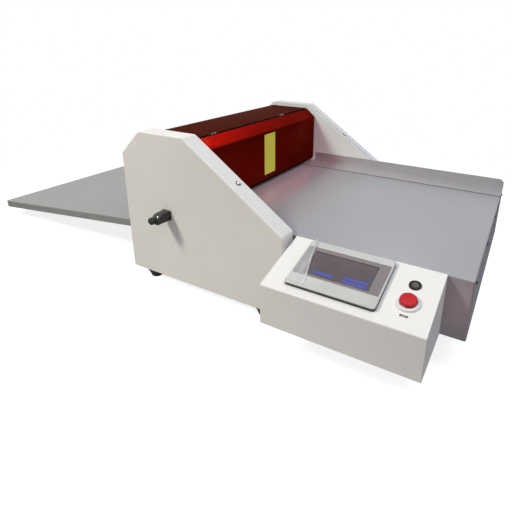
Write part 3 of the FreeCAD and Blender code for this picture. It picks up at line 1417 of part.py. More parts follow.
def electrics():
    """The power inlet in the far cover's rear wall and the power supply on the belly pan."""
    width, height = size.inlet_width, size.inlet_height
    flange = box("inlet_flange", (rear_x - size.inlet_flange, inlet_y - width / 2,
                                  inlet_z - height / 2), (size.inlet_flange, width, height))
    width, height = size.inlet_body_width, size.inlet_body_height
    body_room = size.slide_gap
    width, height = width - body_room, height - body_room
    body = box("inlet_body", (rear_x, inlet_y - width / 2, inlet_z - height / 2),
               (size.inlet_depth / 2 - body_room + size.inlet_depth / 2, width, height))
    rim = size.inlet_flange
    well_sides = (size.inlet_well, width - rim * 2.0, height - rim * 2.0)
    well = box("inlet_well", (rear_x - rim, inlet_y - well_sides[1] / 2,
                              inlet_z - well_sides[2] / 2), well_sides)
    finish(cut("power_inlet", fuse("inlet_solid", [flange, body]), [well]), "power_inlet")
    blades = []
    for number, offset in enumerate((-1.0, 0.0, 1.0)):
        pin_z = inlet_z + offset * size.inlet_pin_pitch
        start = (rear_x + size.inlet_well - rim, inlet_y, pin_z)
        corner = (rear_x, start[1] - size.inlet_pin_width / 2, pin_z - size.inlet_pin / 2)
        sides = (size.inlet_well - rim, size.inlet_pin_width, size.inlet_pin)
        blades.append(box("inlet_pin_%d" % number, corner, sides))
    finish(group("inlet_pins", blades), "inlet_pins")
    floor = level(size.pan_level + size.pan_sheet)
    sides = (size.supply_width, size.supply_length, size.supply_height)
    supply = centred_box("power_supply", station(size.supply_station), floor, sides)
    finish(supply, "power_supply")


motor_bore = size.motor_shaft_radius + size.shaft_clearance
stop_barrel = size.stop_stem_radius + size.stem_clearance + size.barrel_wall
start_barrel = size.start_cap_radius + size.stem_clearance + size.barrel_wall

casings()
cover_screws()
feet()
belly_pan()
beams()
bed_beam()
anvil_bar()
depth_shaft()
depth_knob()
bushes()
blade_and_holder()
guide_rails()
crease_drive()
rollers()
feed_drive()
red_sheets()
cover_rests()
hinges()
infeed_table()
side_guide()
outfeed_tray()
control_box()
touch_panel()
buttons()
electrics()

doc.recompute()
for item in doc.Objects:
    if "Invalid" in item.State or "Error" in item.State:
        raise RuntimeError("%s did not compute" % item.Name)
os.makedirs("parts", exist_ok=True)
for item in sub_parts:
    shape = item.Shape
    if shape.isNull() or not shape.isValid():
        raise RuntimeError("%s has no valid shape" % item.Label)
    shape.exportStep(os.path.join("parts", item.Label + ".step"))
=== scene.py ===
import math

import bmesh
import bpy
import numpy
from mathutils import Matrix, Vector


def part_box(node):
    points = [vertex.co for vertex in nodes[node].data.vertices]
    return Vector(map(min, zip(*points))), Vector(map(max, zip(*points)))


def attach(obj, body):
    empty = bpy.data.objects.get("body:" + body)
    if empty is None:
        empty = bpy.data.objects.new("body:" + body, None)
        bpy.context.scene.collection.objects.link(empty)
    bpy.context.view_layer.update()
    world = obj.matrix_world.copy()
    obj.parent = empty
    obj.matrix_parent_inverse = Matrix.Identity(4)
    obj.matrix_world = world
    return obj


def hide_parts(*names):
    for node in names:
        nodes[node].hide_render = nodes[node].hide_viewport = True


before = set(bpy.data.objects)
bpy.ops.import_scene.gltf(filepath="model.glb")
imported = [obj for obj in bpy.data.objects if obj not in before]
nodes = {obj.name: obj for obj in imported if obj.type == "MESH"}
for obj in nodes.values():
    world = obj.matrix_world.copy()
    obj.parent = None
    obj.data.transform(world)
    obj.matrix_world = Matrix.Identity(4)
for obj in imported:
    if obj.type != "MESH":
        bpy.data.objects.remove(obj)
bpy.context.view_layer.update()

bpy.context.scene.view_settings.view_transform = "Standard"

# Dresses the creasing machine: a finish for every node of the frame, finer pieces in the place of
# some of them, the camera that took the photograph, and the studio.

MM = 0.001
IMAGE_SIZE = 512.0
SENSOR = 36.0
FEET_HEIGHT = 22.0
ROOT = "machine_frame"


# ---------------------------------------------------------------------------------------------
# places taken from the frame, in metres

near_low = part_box("side_cover_near")[0]
far_low, far_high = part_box("side_cover_far")
table_low, table_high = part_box("infeed_table")
panel_low, panel_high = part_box("control_box")
CASING_REAR = near_low.x

# matrices for outlines that are skinned along X, and along Y
ALONG_X = Matrix(((0, 0, 1, 0), (1, 0, 0, 0), (0, 1, 0, 0), (0, 0, 0, 1)))
ALONG_Y = Matrix(((1, 0, 0, 0), (0, 0, 1, 0), (0, 1, 0, 0), (0, 0, 0, 1)))


def station(distance, y, height):
    """A point at a distance in mm along X from the casings' rear face, y and height in mm."""
    middle = (near_low.y + far_high.y) / 2
    return Vector((CASING_REAR + distance * MM, middle + y * MM, (FEET_HEIGHT + height) * MM))


# the control panel's own frame: X along the box, Y up the slope, Z off the panel
TILT = math.radians(15.66)
panel_origin = Vector((panel_low.x, panel_low.y,
                       panel_high.z - (panel_high.y - panel_low.y) * math.tan(TILT)))
PANEL = Matrix.Translation(panel_origin) @ Matrix.Rotation(TILT, 4, "X")


def on_panel(along, rise, height=0.0):
    """A matrix at a place on the control panel, in mm."""
    return PANEL @ Matrix.Translation(Vector((along, rise, height)) * MM)


# ---------------------------------------------------------------------------------------------
# camera


def camera(position, azimuth, elevation, roll, focal, centre):
    """Looks along a fitted direction; focal and centre are in pixels of the square image."""
    az, el, turn = (math.radians(angle) for angle in (azimuth, elevation, roll))
    back = Vector((math.sin(az) * math.cos(el), -math.cos(az) * math.cos(el), math.sin(el)))
    right = (-back).cross(Vector((0, 0, 1))).normalized()
    up = right.cross(-back)
    right, up = (math.cos(turn) * right + math.sin(turn) * up,
                 math.cos(turn) * up - math.sin(turn) * right)
    data = bpy.data.cameras.new("camera")
    data.sensor_width = SENSOR
    data.lens = focal / IMAGE_SIZE * SENSOR
    data.shift_x = 0.5 - centre[0] / IMAGE_SIZE
    data.shift_y = centre[1] / IMAGE_SIZE - 0.5
    data.clip_end = 100.0
    item = bpy.data.objects.new("camera", data)
    item.matrix_world = Matrix((
        (right.x, up.x, back.x, position.x),
        (right.y, up.y, back.y, position.y),
        (right.z, up.z, back.z, position.z),
        (0, 0, 0, 1),
    ))
    bpy.context.scene.collection.objects.link(item)
    bpy.context.scene.camera = item


camera(station(838.39, -989.53, 564.90), azimuth=29.43, elevation=18.74, roll=0.70,
       focal=427.94, centre=(288.32, 184.50))


# ---------------------------------------------------------------------------------------------
# materials


class Shader:
    """A material built node by node, with the usual layers as methods."""

    def __init__(self, name):
        self.material = bpy.data.materials.new(name)
        self.material.use_nodes = True
        self.tree = self.material.node_tree
        self.nodes = self.tree.nodes
        self.base = self.nodes["Principled BSDF"]
        self.coords = self.add("ShaderNodeTexCoord").outputs["Object"]

    def add(self, kind, **values):
        """A new node with its settings."""
        node = self.nodes.new(kind)
        for name, value in values.items():
            setattr(node, name, value)
        return node

    def link(self, source, target):
        self.tree.links.new(source, target)

    def set(self, **values):
        """Sets the base shader's inputs, named in lower case with underscores."""
        for name, value in values.items():
            self.base.inputs[name.replace("_", " ").title().replace("Ior", "IOR")].default_value = value
        return self

    def noise(self, scale, detail, stretch=None, rough=0.55):
        """Cloudy noise in the object's own space, stretched where scales for X, Y and Z are given."""
        node = self.add("ShaderNodeTexNoise")
        node.inputs["Scale"].default_value = scale
        node.inputs["Detail"].default_value = detail
        node.inputs["Roughness"].default_value = rough
        if stretch is None:
            self.link(self.coords, node.inputs["Vector"])
        else:
            mapping = self.add("ShaderNodeMapping")
            mapping.inputs["Scale"].default_value = stretch
            self.link(self.coords, mapping.inputs["Vector"])
            self.link(mapping.outputs["Vector"], node.inputs["Vector"])
        return node.outputs["Fac"]

    def ramp(self, source, low, high, start=0.35, end=0.65):
        """Goes from low to high while the source goes from start to end."""
        node = self.add("ShaderNodeMapRange")
        node.inputs["From Min"].default_value = start
        node.inputs["From Max"].default_value = end
        node.inputs["To Min"].default_value = low
        node.inputs["To Max"].default_value = high
        self.link(source, node.inputs["Value"])
        return node.outputs["Result"]

    def mix(self, factor, first, second, blend="MIX"):
        """Mixes two colours, each a tuple or a socket."""
        node = self.add("ShaderNodeMix", data_type="RGBA", blend_type=blend)
        if isinstance(factor, float):
            node.inputs["Factor"].default_value = factor
        else:
            self.link(factor, node.inputs["Factor"])
        for name, value in (("A", first), ("B", second)):
            socket = [s for s in node.inputs if s.name == name and s.type == "RGBA"][0]
            if isinstance(value, tuple):
                socket.default_value = value + (1.0,)
            else:
                self.link(value, socket)
        return [s for s in node.outputs if s.type == "RGBA"][0]

    def maths(self, operation, first, second=0.0):
        """An operation on two values, each a number or a socket."""
        node = self.add("ShaderNodeMath", operation=operation)
        for socket, value in zip(node.inputs, (first, second)):
            if isinstance(value, (int, float)):
                socket.default_value = value
            else:
                self.link(value, socket)
        return node.outputs[0]

    def edges(self, radius):
        """A mask that is 1 on edges, from how far a rounded normal leans off the true one."""
        bevel = self.add("ShaderNodeBevel", samples=4)
        bevel.inputs["Radius"].default_value = radius
        flat = self.add("ShaderNodeNewGeometry")
        dot = self.add("ShaderNodeVectorMath", operation="DOT_PRODUCT")
        self.link(bevel.outputs["Normal"], dot.inputs[0])
        self.link(flat.outputs["True Normal"], dot.inputs[1])
        return self.ramp(dot.outputs["Value"], 1.0, 0.0, 0.86, 0.99)

    def bump(self, layers, bevel=0.0):
        """Adds (height, strength, distance) layers on a normal rounded at the edges."""
        normal = None
        if bevel:
            node = self.add("ShaderNodeBevel", samples=4)
            node.inputs["Radius"].default_value = bevel
            normal = node.outputs["Normal"]
        for height, strength, distance in layers:
            node = self.add("ShaderNodeBump")
            node.inputs["Strength"].default_value = strength
            node.inputs["Distance"].default_value = distance
            self.link(height, node.inputs["Height"])
            if normal is not None:
                self.link(normal, node.inputs["Normal"])
            normal = node.outputs["Normal"]
        if normal is not None:
            self.link(normal, self.base.inputs["Normal"])
        return self


def paint(name, colour, rough, grain=900.0, depth=0.00006, metal=0.0, spread=0.06, gap_shade_y=None):
    """Sprayed or powder-coated sheet: orange peel, faint mottling, dust and paler worn edges.

    The last argument is a place along Y where a dark line paints the shade in the gap between two
    parts.
    """
    shade = Shader(name)
    shade.set(roughness=rough, metallic=metal, specular_ior_level=0.25)
    blotch = shade.ramp(shade.noise(5.0, 4.0), 0.975, 1.012)
    fine = shade.ramp(shade.noise(260.0, 3.0), 0.99, 1.008)
    tone = shade.mix(1.0, colour, shade.maths("MULTIPLY", blotch, fine), "MULTIPLY")
    edge = 0.0008
    worn = shade.maths("MULTIPLY", shade.edges(edge), shade.ramp(shade.noise(55.0, 6.0), 0.0, 0.35))
    pale = tuple(min(1.0, c * 1.25 + 0.03) for c in colour)
    tone = shade.mix(worn, tone, pale)
    # painted shade: a dark line along Y, in the gap where a cover meets a frame plate
    if gap_shade_y is not None:
        place = shade.add("ShaderNodeSeparateXYZ")
        shade.link(shade.coords, place.inputs[0])
        off = shade.maths("ABSOLUTE", shade.maths("SUBTRACT", place.outputs["Y"], gap_shade_y))
        tone = shade.mix(shade.ramp(off, 1.0, 0.0, 0.0022, 0.0028), tone, (0.03, 0.03, 0.032))
    shade.link(tone, shade.base.inputs["Base Color"])
    shade.link(shade.ramp(shade.noise(38.0, 6.0), rough - spread, rough + spread),
               shade.base.inputs["Roughness"])
    shade.bump([(shade.noise(grain, 2.0), 0.2, depth)], edge)
    return shade.material


def brushed(name, colour, rough, stretch):
    """Bright metal with fine lines along one direction and faint finger marks."""
    shade = Shader(name)
    shade.set(metallic=1.0)
    lines = shade.noise(420.0, 5.0, stretch)
    tone = shade.mix(shade.ramp(lines, 0.0, 1.0, 0.3, 0.7), tuple(c * 0.86 for c in colour), colour)
    shade.link(tone, shade.base.inputs["Base Color"])
    marks = shade.ramp(shade.noise(30.0, 6.0), 0.0, 0.06, 0.5, 0.75)
    shade.link(shade.maths("ADD", shade.ramp(lines, rough - 0.06, rough + 0.08), marks),
               shade.base.inputs["Roughness"])
    shade.bump([(lines, 0.4, 0.00003)], 0.0004)
    return shade.material


def plastic(name, colour, rough, specks=0.04, gloss=0.5):
    """Moulded plastic with a fine spark texture and handling marks."""
    shade = Shader(name)
    shade.set(specular_ior_level=gloss)
    tone = shade.mix(shade.ramp(shade.noise(18.0, 5.0), 0.0, 1.0), colour,
                     tuple(c * (1.0 - 2.0 * specks) for c in colour))
    shade.link(tone, shade.base.inputs["Base Color"])
    shade.link(shade.ramp(shade.noise(45.0, 6.0), rough - 0.05, rough + 0.1),
               shade.base.inputs["Roughness"])
    shade.bump([(shade.noise(1400.0, 2.0), 0.3, 0.00004)], 0.0005)
    return shade.material


def rubber(name, colour):
    """Dull rubber with dust in its grain."""
    shade = Shader(name)
    dust = shade.ramp(shade.noise(120.0, 6.0), 0.0, 0.5, 0.45, 0.75)
    shade.link(shade.mix(dust, colour, tuple(c + 0.035 for c in colour)),
               shade.base.inputs["Base Color"])
    shade.set(roughness=0.72)
    shade.bump([(shade.noise(900.0, 3.0), 0.5, 0.0001)], 0.0006)
    return shade.material


def red_sheet(name, shaded_share=0.0):
    """Dark red tinted sheet: a fine pebbled face, a red gloss, and red light let through.

    The last argument is the share of a dull dark brown shader mixed over the gloss, for a darker copy
    of the sheet: painted shade.
    """
    body = (0.178, 0.010, 0.0027)
    seen_through = 0.03
    lit_through = 0.75
    shade = Shader(name)
    shade.set(metallic=0.86, specular_ior_level=0.04)
    shade.base.inputs["Specular Tint"].default_value = (0.24, 0.08, 0.035, 1.0)
    tone = shade.mix(shade.ramp(shade.noise(6.0, 4.0), 0.0, 1.0), body,
                     tuple(c * 0.8 for c in body))
    tone = shade.mix(shade.ramp(shade.noise(11.0, 7.0), 0.0, 0.8, 0.48, 0.68), tone,
                     (body[0] * 0.95, body[1] * 3.0, body[2] * 5.0))
    pebbles = shade.noise(330.0, 3.0)
    tone = shade.mix(shade.ramp(pebbles, 0.0, 0.3, 0.45, 0.7), tone,
                     tuple(c * 1.4 for c in body))
    shade.link(tone, shade.base.inputs["Base Color"])
    shade.link(shade.ramp(shade.noise(60.0, 5.0), 0.30, 0.38), shade.base.inputs["Roughness"])
    shade.bump([(pebbles, 0.4, 0.00007)], 0.0006)
    see = shade.add("ShaderNodeBsdfTransparent")
    see.inputs["Color"].default_value = (0.92, 0.30, 0.34, 1.0)
    mixer = shade.add("ShaderNodeMixShader")
    shadow = shade.add("ShaderNodeLightPath").outputs["Is Shadow Ray"]
    shade.link(shade.ramp(shadow, seen_through, lit_through, 0.0, 1.0), mixer.inputs["Fac"])
    dull = shade.add("ShaderNodeBsdfDiffuse")
    dull.inputs["Color"].default_value = (0.03, 0.006, 0.001, 1.0)
    # painted shade: dull dark brown mixed over the gloss darkens this copy
    shaded_mix = shade.add("ShaderNodeMixShader")
    shaded_mix.inputs["Fac"].default_value = shaded_share
    shade.link(shade.base.outputs[0], shaded_mix.inputs[1])
    shade.link(dull.outputs[0], shaded_mix.inputs[2])
    shade.link(shaded_mix.outputs[0], mixer.inputs[1])
    shade.link(see.outputs[0], mixer.inputs[2])
    shade.link(mixer.outputs[0], shade.nodes["Material Output"].inputs["Surface"])
    return shade.material


def clear_film(name, haze):
    """Thin clear film, hazed by fine scratches along its folds."""
    shade = Shader(name)
    shade.base.inputs["Base Color"].default_value = (0.86, 0.87, 0.90, 1.0)
    shade.set(roughness=0.22, specular_ior_level=0.8)
    streaks = shade.noise(60.0, 6.0, (1.0, 0.12, 0.3), 0.7)
    shade.bump([(streaks, 0.6, 0.0006)])
    see = shade.add("ShaderNodeBsdfTransparent")
    mixer = shade.add("ShaderNodeMixShader")
    shade.link(shade.ramp(streaks, *haze), mixer.inputs["Fac"])
    shade.link(see.outputs[0], mixer.inputs[1])
    shade.link(shade.base.outputs[0], mixer.inputs[2])
    shade.link(mixer.outputs[0], shade.nodes["Material Output"].inputs["Surface"])
    return shade.material


MATERIALS = {
    # one paint in two copies: the far cover's copy is cooler than the near one, painted for the cooler
    # light on the far cover
    "casing": paint("casing_paint", (0.76, 0.745, 0.725), 0.48),
    "casing_far_painted_light": paint("casing_paint_far_painted_light", (0.74, 0.745, 0.745), 0.48, gap_shade_y=far_low.y),
    "frame": paint("frame_paint", (0.73, 0.75, 0.735), 0.42),
    "inner": paint("inner_paint", (0.12, 0.12, 0.12), 0.5),
    "table": paint("table_paint", (0.34, 0.335, 0.357), 0.36, 700.0, 0.00003, metal=0.28,
                   spread=0.02),
    "tray": paint("tray_paint", (0.325, 0.33, 0.33), 0.4, 700.0, 0.00003, metal=0.6, spread=0.02),
    "box": paint("box_paint", (0.78, 0.77, 0.755), 0.46),
    "guide": paint("guide_paint", (0.43, 0.425, 0.44), 0.34, 700.0, 0.00003, metal=0.5,
                   spread=0.02),
    "steel": brushed("bright_steel", (0.62, 0.62, 0.61), 0.27, (1.0, 0.03, 1.0)),
    "milled": brushed("holder_steel", (0.42, 0.43, 0.45), 0.34, (1.0, 0.05, 1.0)),
    "alloy": brushed("pulley_alu", (0.70, 0.70, 0.71), 0.3, (1.0, 0.05, 1.0)),
    "bronze": brushed("bronze", (0.58, 0.42, 0.20), 0.32, (1.0, 0.05, 1.0)),
    "rubber": rubber("black_rubber", (0.018, 0.018, 0.018)),
    "dark_steel": plastic("hinge_steel", (0.014, 0.010, 0.010), 0.5, gloss=0.1),
    "black": plastic("black_plastic", (0.010, 0.011, 0.010), 0.22),
    "motor": paint("dark_motor", (0.03, 0.03, 0.032), 0.45),
    "red": red_sheet("red_sheet"),
    # the top guard's copy of the red sheet, darkened: painted shade
    "red_top_shaded": red_sheet("red_sheet_top_shaded", shaded_share=0.5),
    # near black cut edges: painted shade that darkens the gap lines between the red sheets
    "red_edge_shade": plastic("red_edge_shade", (0.012, 0.002, 0.002), 0.3),
    "cap_red": plastic("red_plastic", (0.50, 0.010, 0.02), 0.34, gloss=0.25),
    # pale washers: painted glints on the hinges
    "washer": plastic("hinge_glint_washer", (0.42, 0.38, 0.39), 0.3),
    "white": plastic("white_plastic", (0.80, 0.80, 0.79), 0.4),
    "bezel": plastic("panel_plastic", (0.53, 0.535, 0.52), 0.36),
    "taupe": plastic("panel_middle", (0.20, 0.175, 0.18), 0.3),
    "window": plastic("panel_window", (0.05, 0.035, 0.035), 0.4, gloss=0.3),
    "bezel_dark": plastic("panel_base", (0.13, 0.16, 0.145), 0.4),
    "screen": plastic("screen_glass", (0.108, 0.085, 0.094), 0.22, specks=0.12, gloss=0.35),
    "field_blue": plastic("field_blue", (0.055, 0.07, 0.36), 0.3),
    "field_light": plastic("field_light", (0.075, 0.095, 0.45), 0.3),
    "field_teal": plastic("field_teal", (0.05, 0.08, 0.15), 0.3),
    "film": clear_film("screen_film", (0.08, 0.34, 0.42, 0.8)),
    # the fold's whiter haze: real haze, and a painted highlight of the crease
    "film_fold_haze_and_highlight": clear_film("film_fold_haze_and_highlight", (0.10, 0.85, 0.38, 0.64)),
    # black for painted shade: the band on the guard's front edge and the strip along the cover's foot
    "lip": plastic("cover_shade_strip", (0.006, 0.003, 0.003), 0.6, gloss=0.02),
    # painted shadow along the side guide's foot
    "foot_line": plastic("guide_foot_shadow", (0.15, 0.085, 0.085), 0.5, gloss=0.1),
    "ring_black": plastic("button_ring", (0.006, 0.006, 0.006), 0.4, gloss=0.2),
    "ink": plastic("panel_ink", (0.008, 0.008, 0.009), 0.6, gloss=0.05),
    "mark_grey": plastic("button_mark", (0.30, 0.28, 0.26), 0.4),
    "start_face": plastic("button_face", (0.045, 0.036, 0.034), 0.35, gloss=0.3),
    "yellow": plastic("yellow_patch", (0.80, 0.72, 0.06), 0.35),
    "screw_steel": brushed("screw_steel", (0.66, 0.66, 0.66), 0.25, (1.0, 1.0, 1.0)),
}

FINISH = {
    "casing": ("side_cover_near",),
    "casing_far_painted_light": ("side_cover_far",),
    "frame": ("side_frame_near", "side_frame_far"),
    "inner": ("front_beam", "top_beam", "rear_beam", "belly_pan", "bed_beam"),
    "table": ("infeed_table",),
    "tray": ("outfeed_tray",),
    "box": ("control_box",),
    "guide": ("side_guide",),
    "steel": ("cover_screws", "table_screws", "anvil_bar", "blade", "cam_shaft", "depth_shaft",
              "guide_rails", "hinge_pins", "infeed_drive_roller", "outfeed_drive_roller",
              "infeed_pinch_roller", "outfeed_pinch_roller", "lift_cams", "table_end_bar",
              "knob_screw"),
    "dark_steel": ("hinge_leaves_fixed", "hinge_leaves_moving"),
    "milled": ("blade_holder",),
    "alloy": ("cam_pulley", "crease_motor_pulley", "feed_motor_pulley", "infeed_drive_pulley",
              "outfeed_drive_pulley", "power_supply"),
    "bronze": ("shaft_bushes", "inlet_pins"),
    "rubber": ("feet", "infeed_drive_rubber", "outfeed_drive_rubber", "crease_belt", "feed_belt",
               "touch_gasket"),
    "black": ("depth_knob", "start_cap", "start_bezel", "button_contacts", "power_inlet",
              "cover_rests"),
    "motor": ("feed_motor", "crease_motor"),
    "red": ("guard", "front_cover"),
    "cap_red": ("stop_cap",),
    "white": ("stop_collar",),
    "bezel": ("touch_bezel",),
    "screen": ("touch_screen",),
}
for key, names in FINISH.items():
    for name in names:
        mesh = nodes[name].data
        mesh.materials.clear()
        mesh.materials.append(MATERIALS[key])


# ---------------------------------------------------------------------------------------------
# building in mesh code; shapes are drawn in mm on a matrix in metres


def circle(radius, turns, middle=(0.0, 0.0)):
    """The outline of a circle with so many points."""
    return [(middle[0] + radius * math.cos(math.tau * turn / turns),
             middle[1] + radius * math.sin(math.tau * turn / turns))
            for turn in range(turns)]


def rounded_box(width, depth, radius, middle=(0.0, 0.0)):
    """The outline of a rectangle with rounded corners."""
    steps = 6
    points = []
    for quarter, (side, end) in enumerate(((1, 1), (-1, 1), (-1, -1), (1, -1))):
        for step in range(steps + 1):
            angle = math.pi / 2 * (quarter + step / steps)
            points.append((middle[0] + side * (width / 2 - radius) + radius * math.cos(angle),
                           middle[1] + end * (depth / 2 - radius) + radius * math.sin(angle)))
    return points


def loft(solid, matrix, sections, closed=False):
    """Skins outlines, each with its height; closed joins the last one to the first."""
    rings = [[solid.verts.new(matrix @ (Vector((x, y, height)) * MM)) for x, y in points]
             for points, height in sections]
    pairs = list(zip(rings, rings[1:]))
    if closed:
        pairs.append((rings[-1], rings[0]))
    else:
        solid.faces.new(rings[0])
        solid.faces.new(rings[-1])
    for lower, upper in pairs:
        count = len(lower)
        for turn in range(count):
            after = (turn + 1) % count
            solid.faces.new((lower[turn], lower[after], upper[after], upper[turn]))


def lathe(solid, matrix, profile, turns=64, middle=(0.0, 0.0), closed=False):
    """Turns (radius, height) points about the matrix's Z axis."""
    loft(solid, matrix, [(circle(max(radius, 0.05), turns, middle), height)
                         for radius, height in profile], closed)


def piece(name, solid, finish, body, stands_for=(), sharp=32.0, soft=0.0):
    """Makes an object of a mesh, with its finish, body and the CAD nodes it stands for."""
    bmesh.ops.recalc_face_normals(solid, faces=solid.faces)
    mesh = bpy.data.meshes.new(name)
    solid.to_mesh(mesh)
    solid.free()
    mesh.shade_smooth()
    mesh.set_sharp_from_angle(angle=math.radians(sharp))
    item = bpy.data.objects.new(name, mesh)
    bpy.context.scene.collection.objects.link(item)
    for key in (finish,) if isinstance(finish, str) else finish:
        mesh.materials.append(MATERIALS[key])
    if soft:
        soften(item, soft)
    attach(item, body)
    if stands_for:
        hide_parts(*stands_for)
    return item


def soften(item, width):
    """Rounds an object's edges; a CAD node's split corners are welded first."""
    weld = item.modifiers.new("weld", "WELD")
    weld.merge_threshold = 0.00001
    bevel = item.modifiers.new("rounded_edges", "BEVEL")
    bevel.width = width * MM
    bevel.segments = 3
    bevel.limit_method = "ANGLE"
    bevel.angle_limit = math.radians(35.0)
    bevel.harden_normals = True
    bevel.miter_outer = "MITER_ARC"


def carve(solid, cutter):
    """The first mesh with the second one taken out of it."""
    items = []
    for mesh_data in (solid, cutter):
        bmesh.ops.recalc_face_normals(mesh_data, faces=mesh_data.faces)
        mesh = bpy.data.meshes.new("carving")
        mesh_data.to_mesh(mesh)
        mesh_data.free()
        items.append(bpy.data.objects.new("carving", mesh))
        bpy.context.scene.collection.objects.link(items[-1])
    cut = items[0].modifiers.new("cut", "BOOLEAN")
    cut.operation = "DIFFERENCE"
    cut.solver = "EXACT"
    cut.use_self = True
    cut.object = items[1]
    result = bpy.data.meshes.new_from_object(
        items[0].evaluated_get(bpy.context.evaluated_depsgraph_get()))
    for item in items:
        bpy.data.objects.remove(item)
    solid = bmesh.new()
    solid.from_mesh(result)
    return solid


def islands(node):
    """The loose parts of a CAD node, each as a matrix on its axis, its length and its radius.

    The axis is the direction about which the part is round, and it points to its wider end.
    """
    shape = bmesh.new()
    shape.from_mesh(nodes[node].data)
    bmesh.ops.remove_doubles(shape, verts=shape.verts, dist=0.00001)
    # a dictionary keeps its order, so the same parts come out to the last digit in each run
    left = dict.fromkeys(shape.verts)
    found = []
    while left:
        waiting = [left.popitem()[0]]
        part = []
        while waiting:
            vert = waiting.pop()
            part.append(Vector(vert.co))
            for edge in vert.link_edges:
                other = edge.other_vert(vert)
                if other in left:
                    del left[other]
                    waiting.append(other)
        found.append(on_axis(part))
    shape.free()
    return sorted(found, key=lambda entry: tuple(round(v, 5) for v in entry[0].translation))


def on_axis(points):
    """One part's matrix, length and radius, from how its points spread about their middle."""
    middle = sum(points, Vector()) / len(points)
    spread = numpy.cov(numpy.array([list(point - middle) for point in points]).T)
    values, vectors = numpy.linalg.eigh(spread)
    alone = 0 if values[1] - values[0] > values[2] - values[1] else 2
    axis = Vector(vectors[:, alone]).normalized()
    along = [(point - middle).dot(axis) for point in points]
    across = [((point - middle) - axis * run).length for point, run in zip(points, along)]
    half = (max(along) + min(along)) / 2
    widest = max(across)
    wide_end = sum(run for run, radius in zip(along, across) if radius > widest * 0.9)
    if wide_end / sum(radius > widest * 0.9 for radius in across) < half:
        axis = -axis
        along = [-run for run in along]
    turn = Vector((0, 0, 1)).rotation_difference(axis).to_matrix().to_4x4()
    base = middle + axis * min(along)
    return Matrix.Translation(base) @ turn, (max(along) - min(along)) / MM, widest / MM


# ---------------------------------------------------------------------------------------------
# knob, feet and screws


def knob():
    """Black moulded knob: square foot, body with a sloping shoulder, round finger grip."""
    low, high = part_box("depth_knob")
    place = (Matrix.Translation(Vector(((low.x + high.x) / 2, high.y, (low.z + high.z) / 2)))
             @ Matrix.Rotation(math.radians(90.0), 4, "X"))
    solid = bmesh.new()
    loft(solid, place, (
        (rounded_box(23.3, 23.3, 0.8), 0.0), (rounded_box(23.7, 23.7, 1.0), 0.4),
        (rounded_box(23.7, 23.7, 1.0), 2.5), (rounded_box(23.0, 23.0, 0.8), 3.0),
        (rounded_box(22.2, 22.2, 1.4), 3.0), (rounded_box(22.1, 22.1, 1.6), 3.6),
        (rounded_box(21.4, 21.4, 2.4), 39.4), (rounded_box(20.6, 20.6, 2.2), 40.6),
        (rounded_box(19.4, 19.4, 1.8), 41.0)))
    fall = math.radians(39.0)
    shoulder = place @ Matrix.Translation(Vector((0.0, 11.3, 28.0)) * MM) \
        @ Matrix.Rotation(fall - math.pi / 2, 4, "X")
    cutter = bmesh.new()
    loft(cutter, shoulder, ((rounded_box(40.0, 60.0, 1.0), 0.0), (rounded_box(40.0, 60.0, 1.0), 20.0)))
    solid = carve(solid, cutter)
    seat = shoulder @ Matrix.Translation(Vector((2.0, -6.5, 0.0)) * MM)
    cutter = bmesh.new()
    lathe(cutter, seat, ((3.3, -2.5), (3.6, -2.2), (3.6, -0.3), (4.2, 0.3), (4.2, 1.0)), 40)
    solid = carve(solid, cutter)
    lathe(solid, place, (
        (8.0, 40.0), (8.2, 41.4), (8.6, 45.0), (8.6, 49.2), (8.3, 50.4), (7.5, 51.3),
        (6.6, 51.5), (6.0, 51.1), (5.6, 50.8), (0.0, 50.6)), 56, (-1.5, 0.0))
    piece("knob", solid, "black", "depth_adjuster", ("depth_knob",), 40.0, 0.35)
    solid = screw_head(seat, 2.6, 2.0, -2.5, 1.3)
    piece("knob_clamp", solid, "screw_steel", "depth_adjuster", ("knob_screw",), 40.0)


def screw_head(place, radius, height, start, socket):
    """A button head with a hexagon socket, from the height start upwards."""
    solid = bmesh.new()
    rim = socket * 1.3
    steps = 7
    curve = [(radius, start), (radius, start + height * 0.25)]
    for step in range(1, steps):
        angle = math.radians(90.0 * step / steps)
        curve.append((rim + (radius - rim) * math.cos(angle),
                      start + height * (0.25 + 0.75 * math.sin(angle))))
    curve.append((rim, start + height))
    lathe(solid, place, curve, 36)
    cutter = bmesh.new()
    deep = start + height * 0.35
    loft(cutter, place, ((circle(socket, 6), deep), (circle(socket, 6), start + height * 1.5)))
    return carve(solid, cutter)


def socket_screws(name, node, finish, shank, head, washer=0.0):
    """Socket screws in the places of a CAD node's islands, on black washers where a radius is given;
    the black washers paint the shade of the screws' countersunk holes.

    shank is a radius and head a height.
    """
    whole = bmesh.new()
    rings = bmesh.new()
    for place, length, radius in islands(node):
        # black washers round the heads: painted shade of the countersunk holes
        if washer:
            start = length - head
            lathe(rings, place, ((shank + 0.2, start + 0.02), (washer, start + 0.02),
                                 (washer, start + 0.3), (washer - 0.3, start + 0.5),
                                 (shank + 0.2, start + 0.5)), 36, closed=True)
        one = screw_head(place, radius, head, length - head, radius * 0.5)
        lathe(one, place, ((shank * 0.8, 0.0), (shank, 0.6), (shank, length - head)), 24)
        scratch = bpy.data.meshes.new("screw")
        one.to_mesh(scratch)
        one.free()
        whole.from_mesh(scratch)
    piece(name, whole, finish, ROOT, (node,), 40.0)
    if washer:
        piece(name + "_shade_rings", rings, "rubber", ROOT, (), 40.0)
    else:
        rings.free()


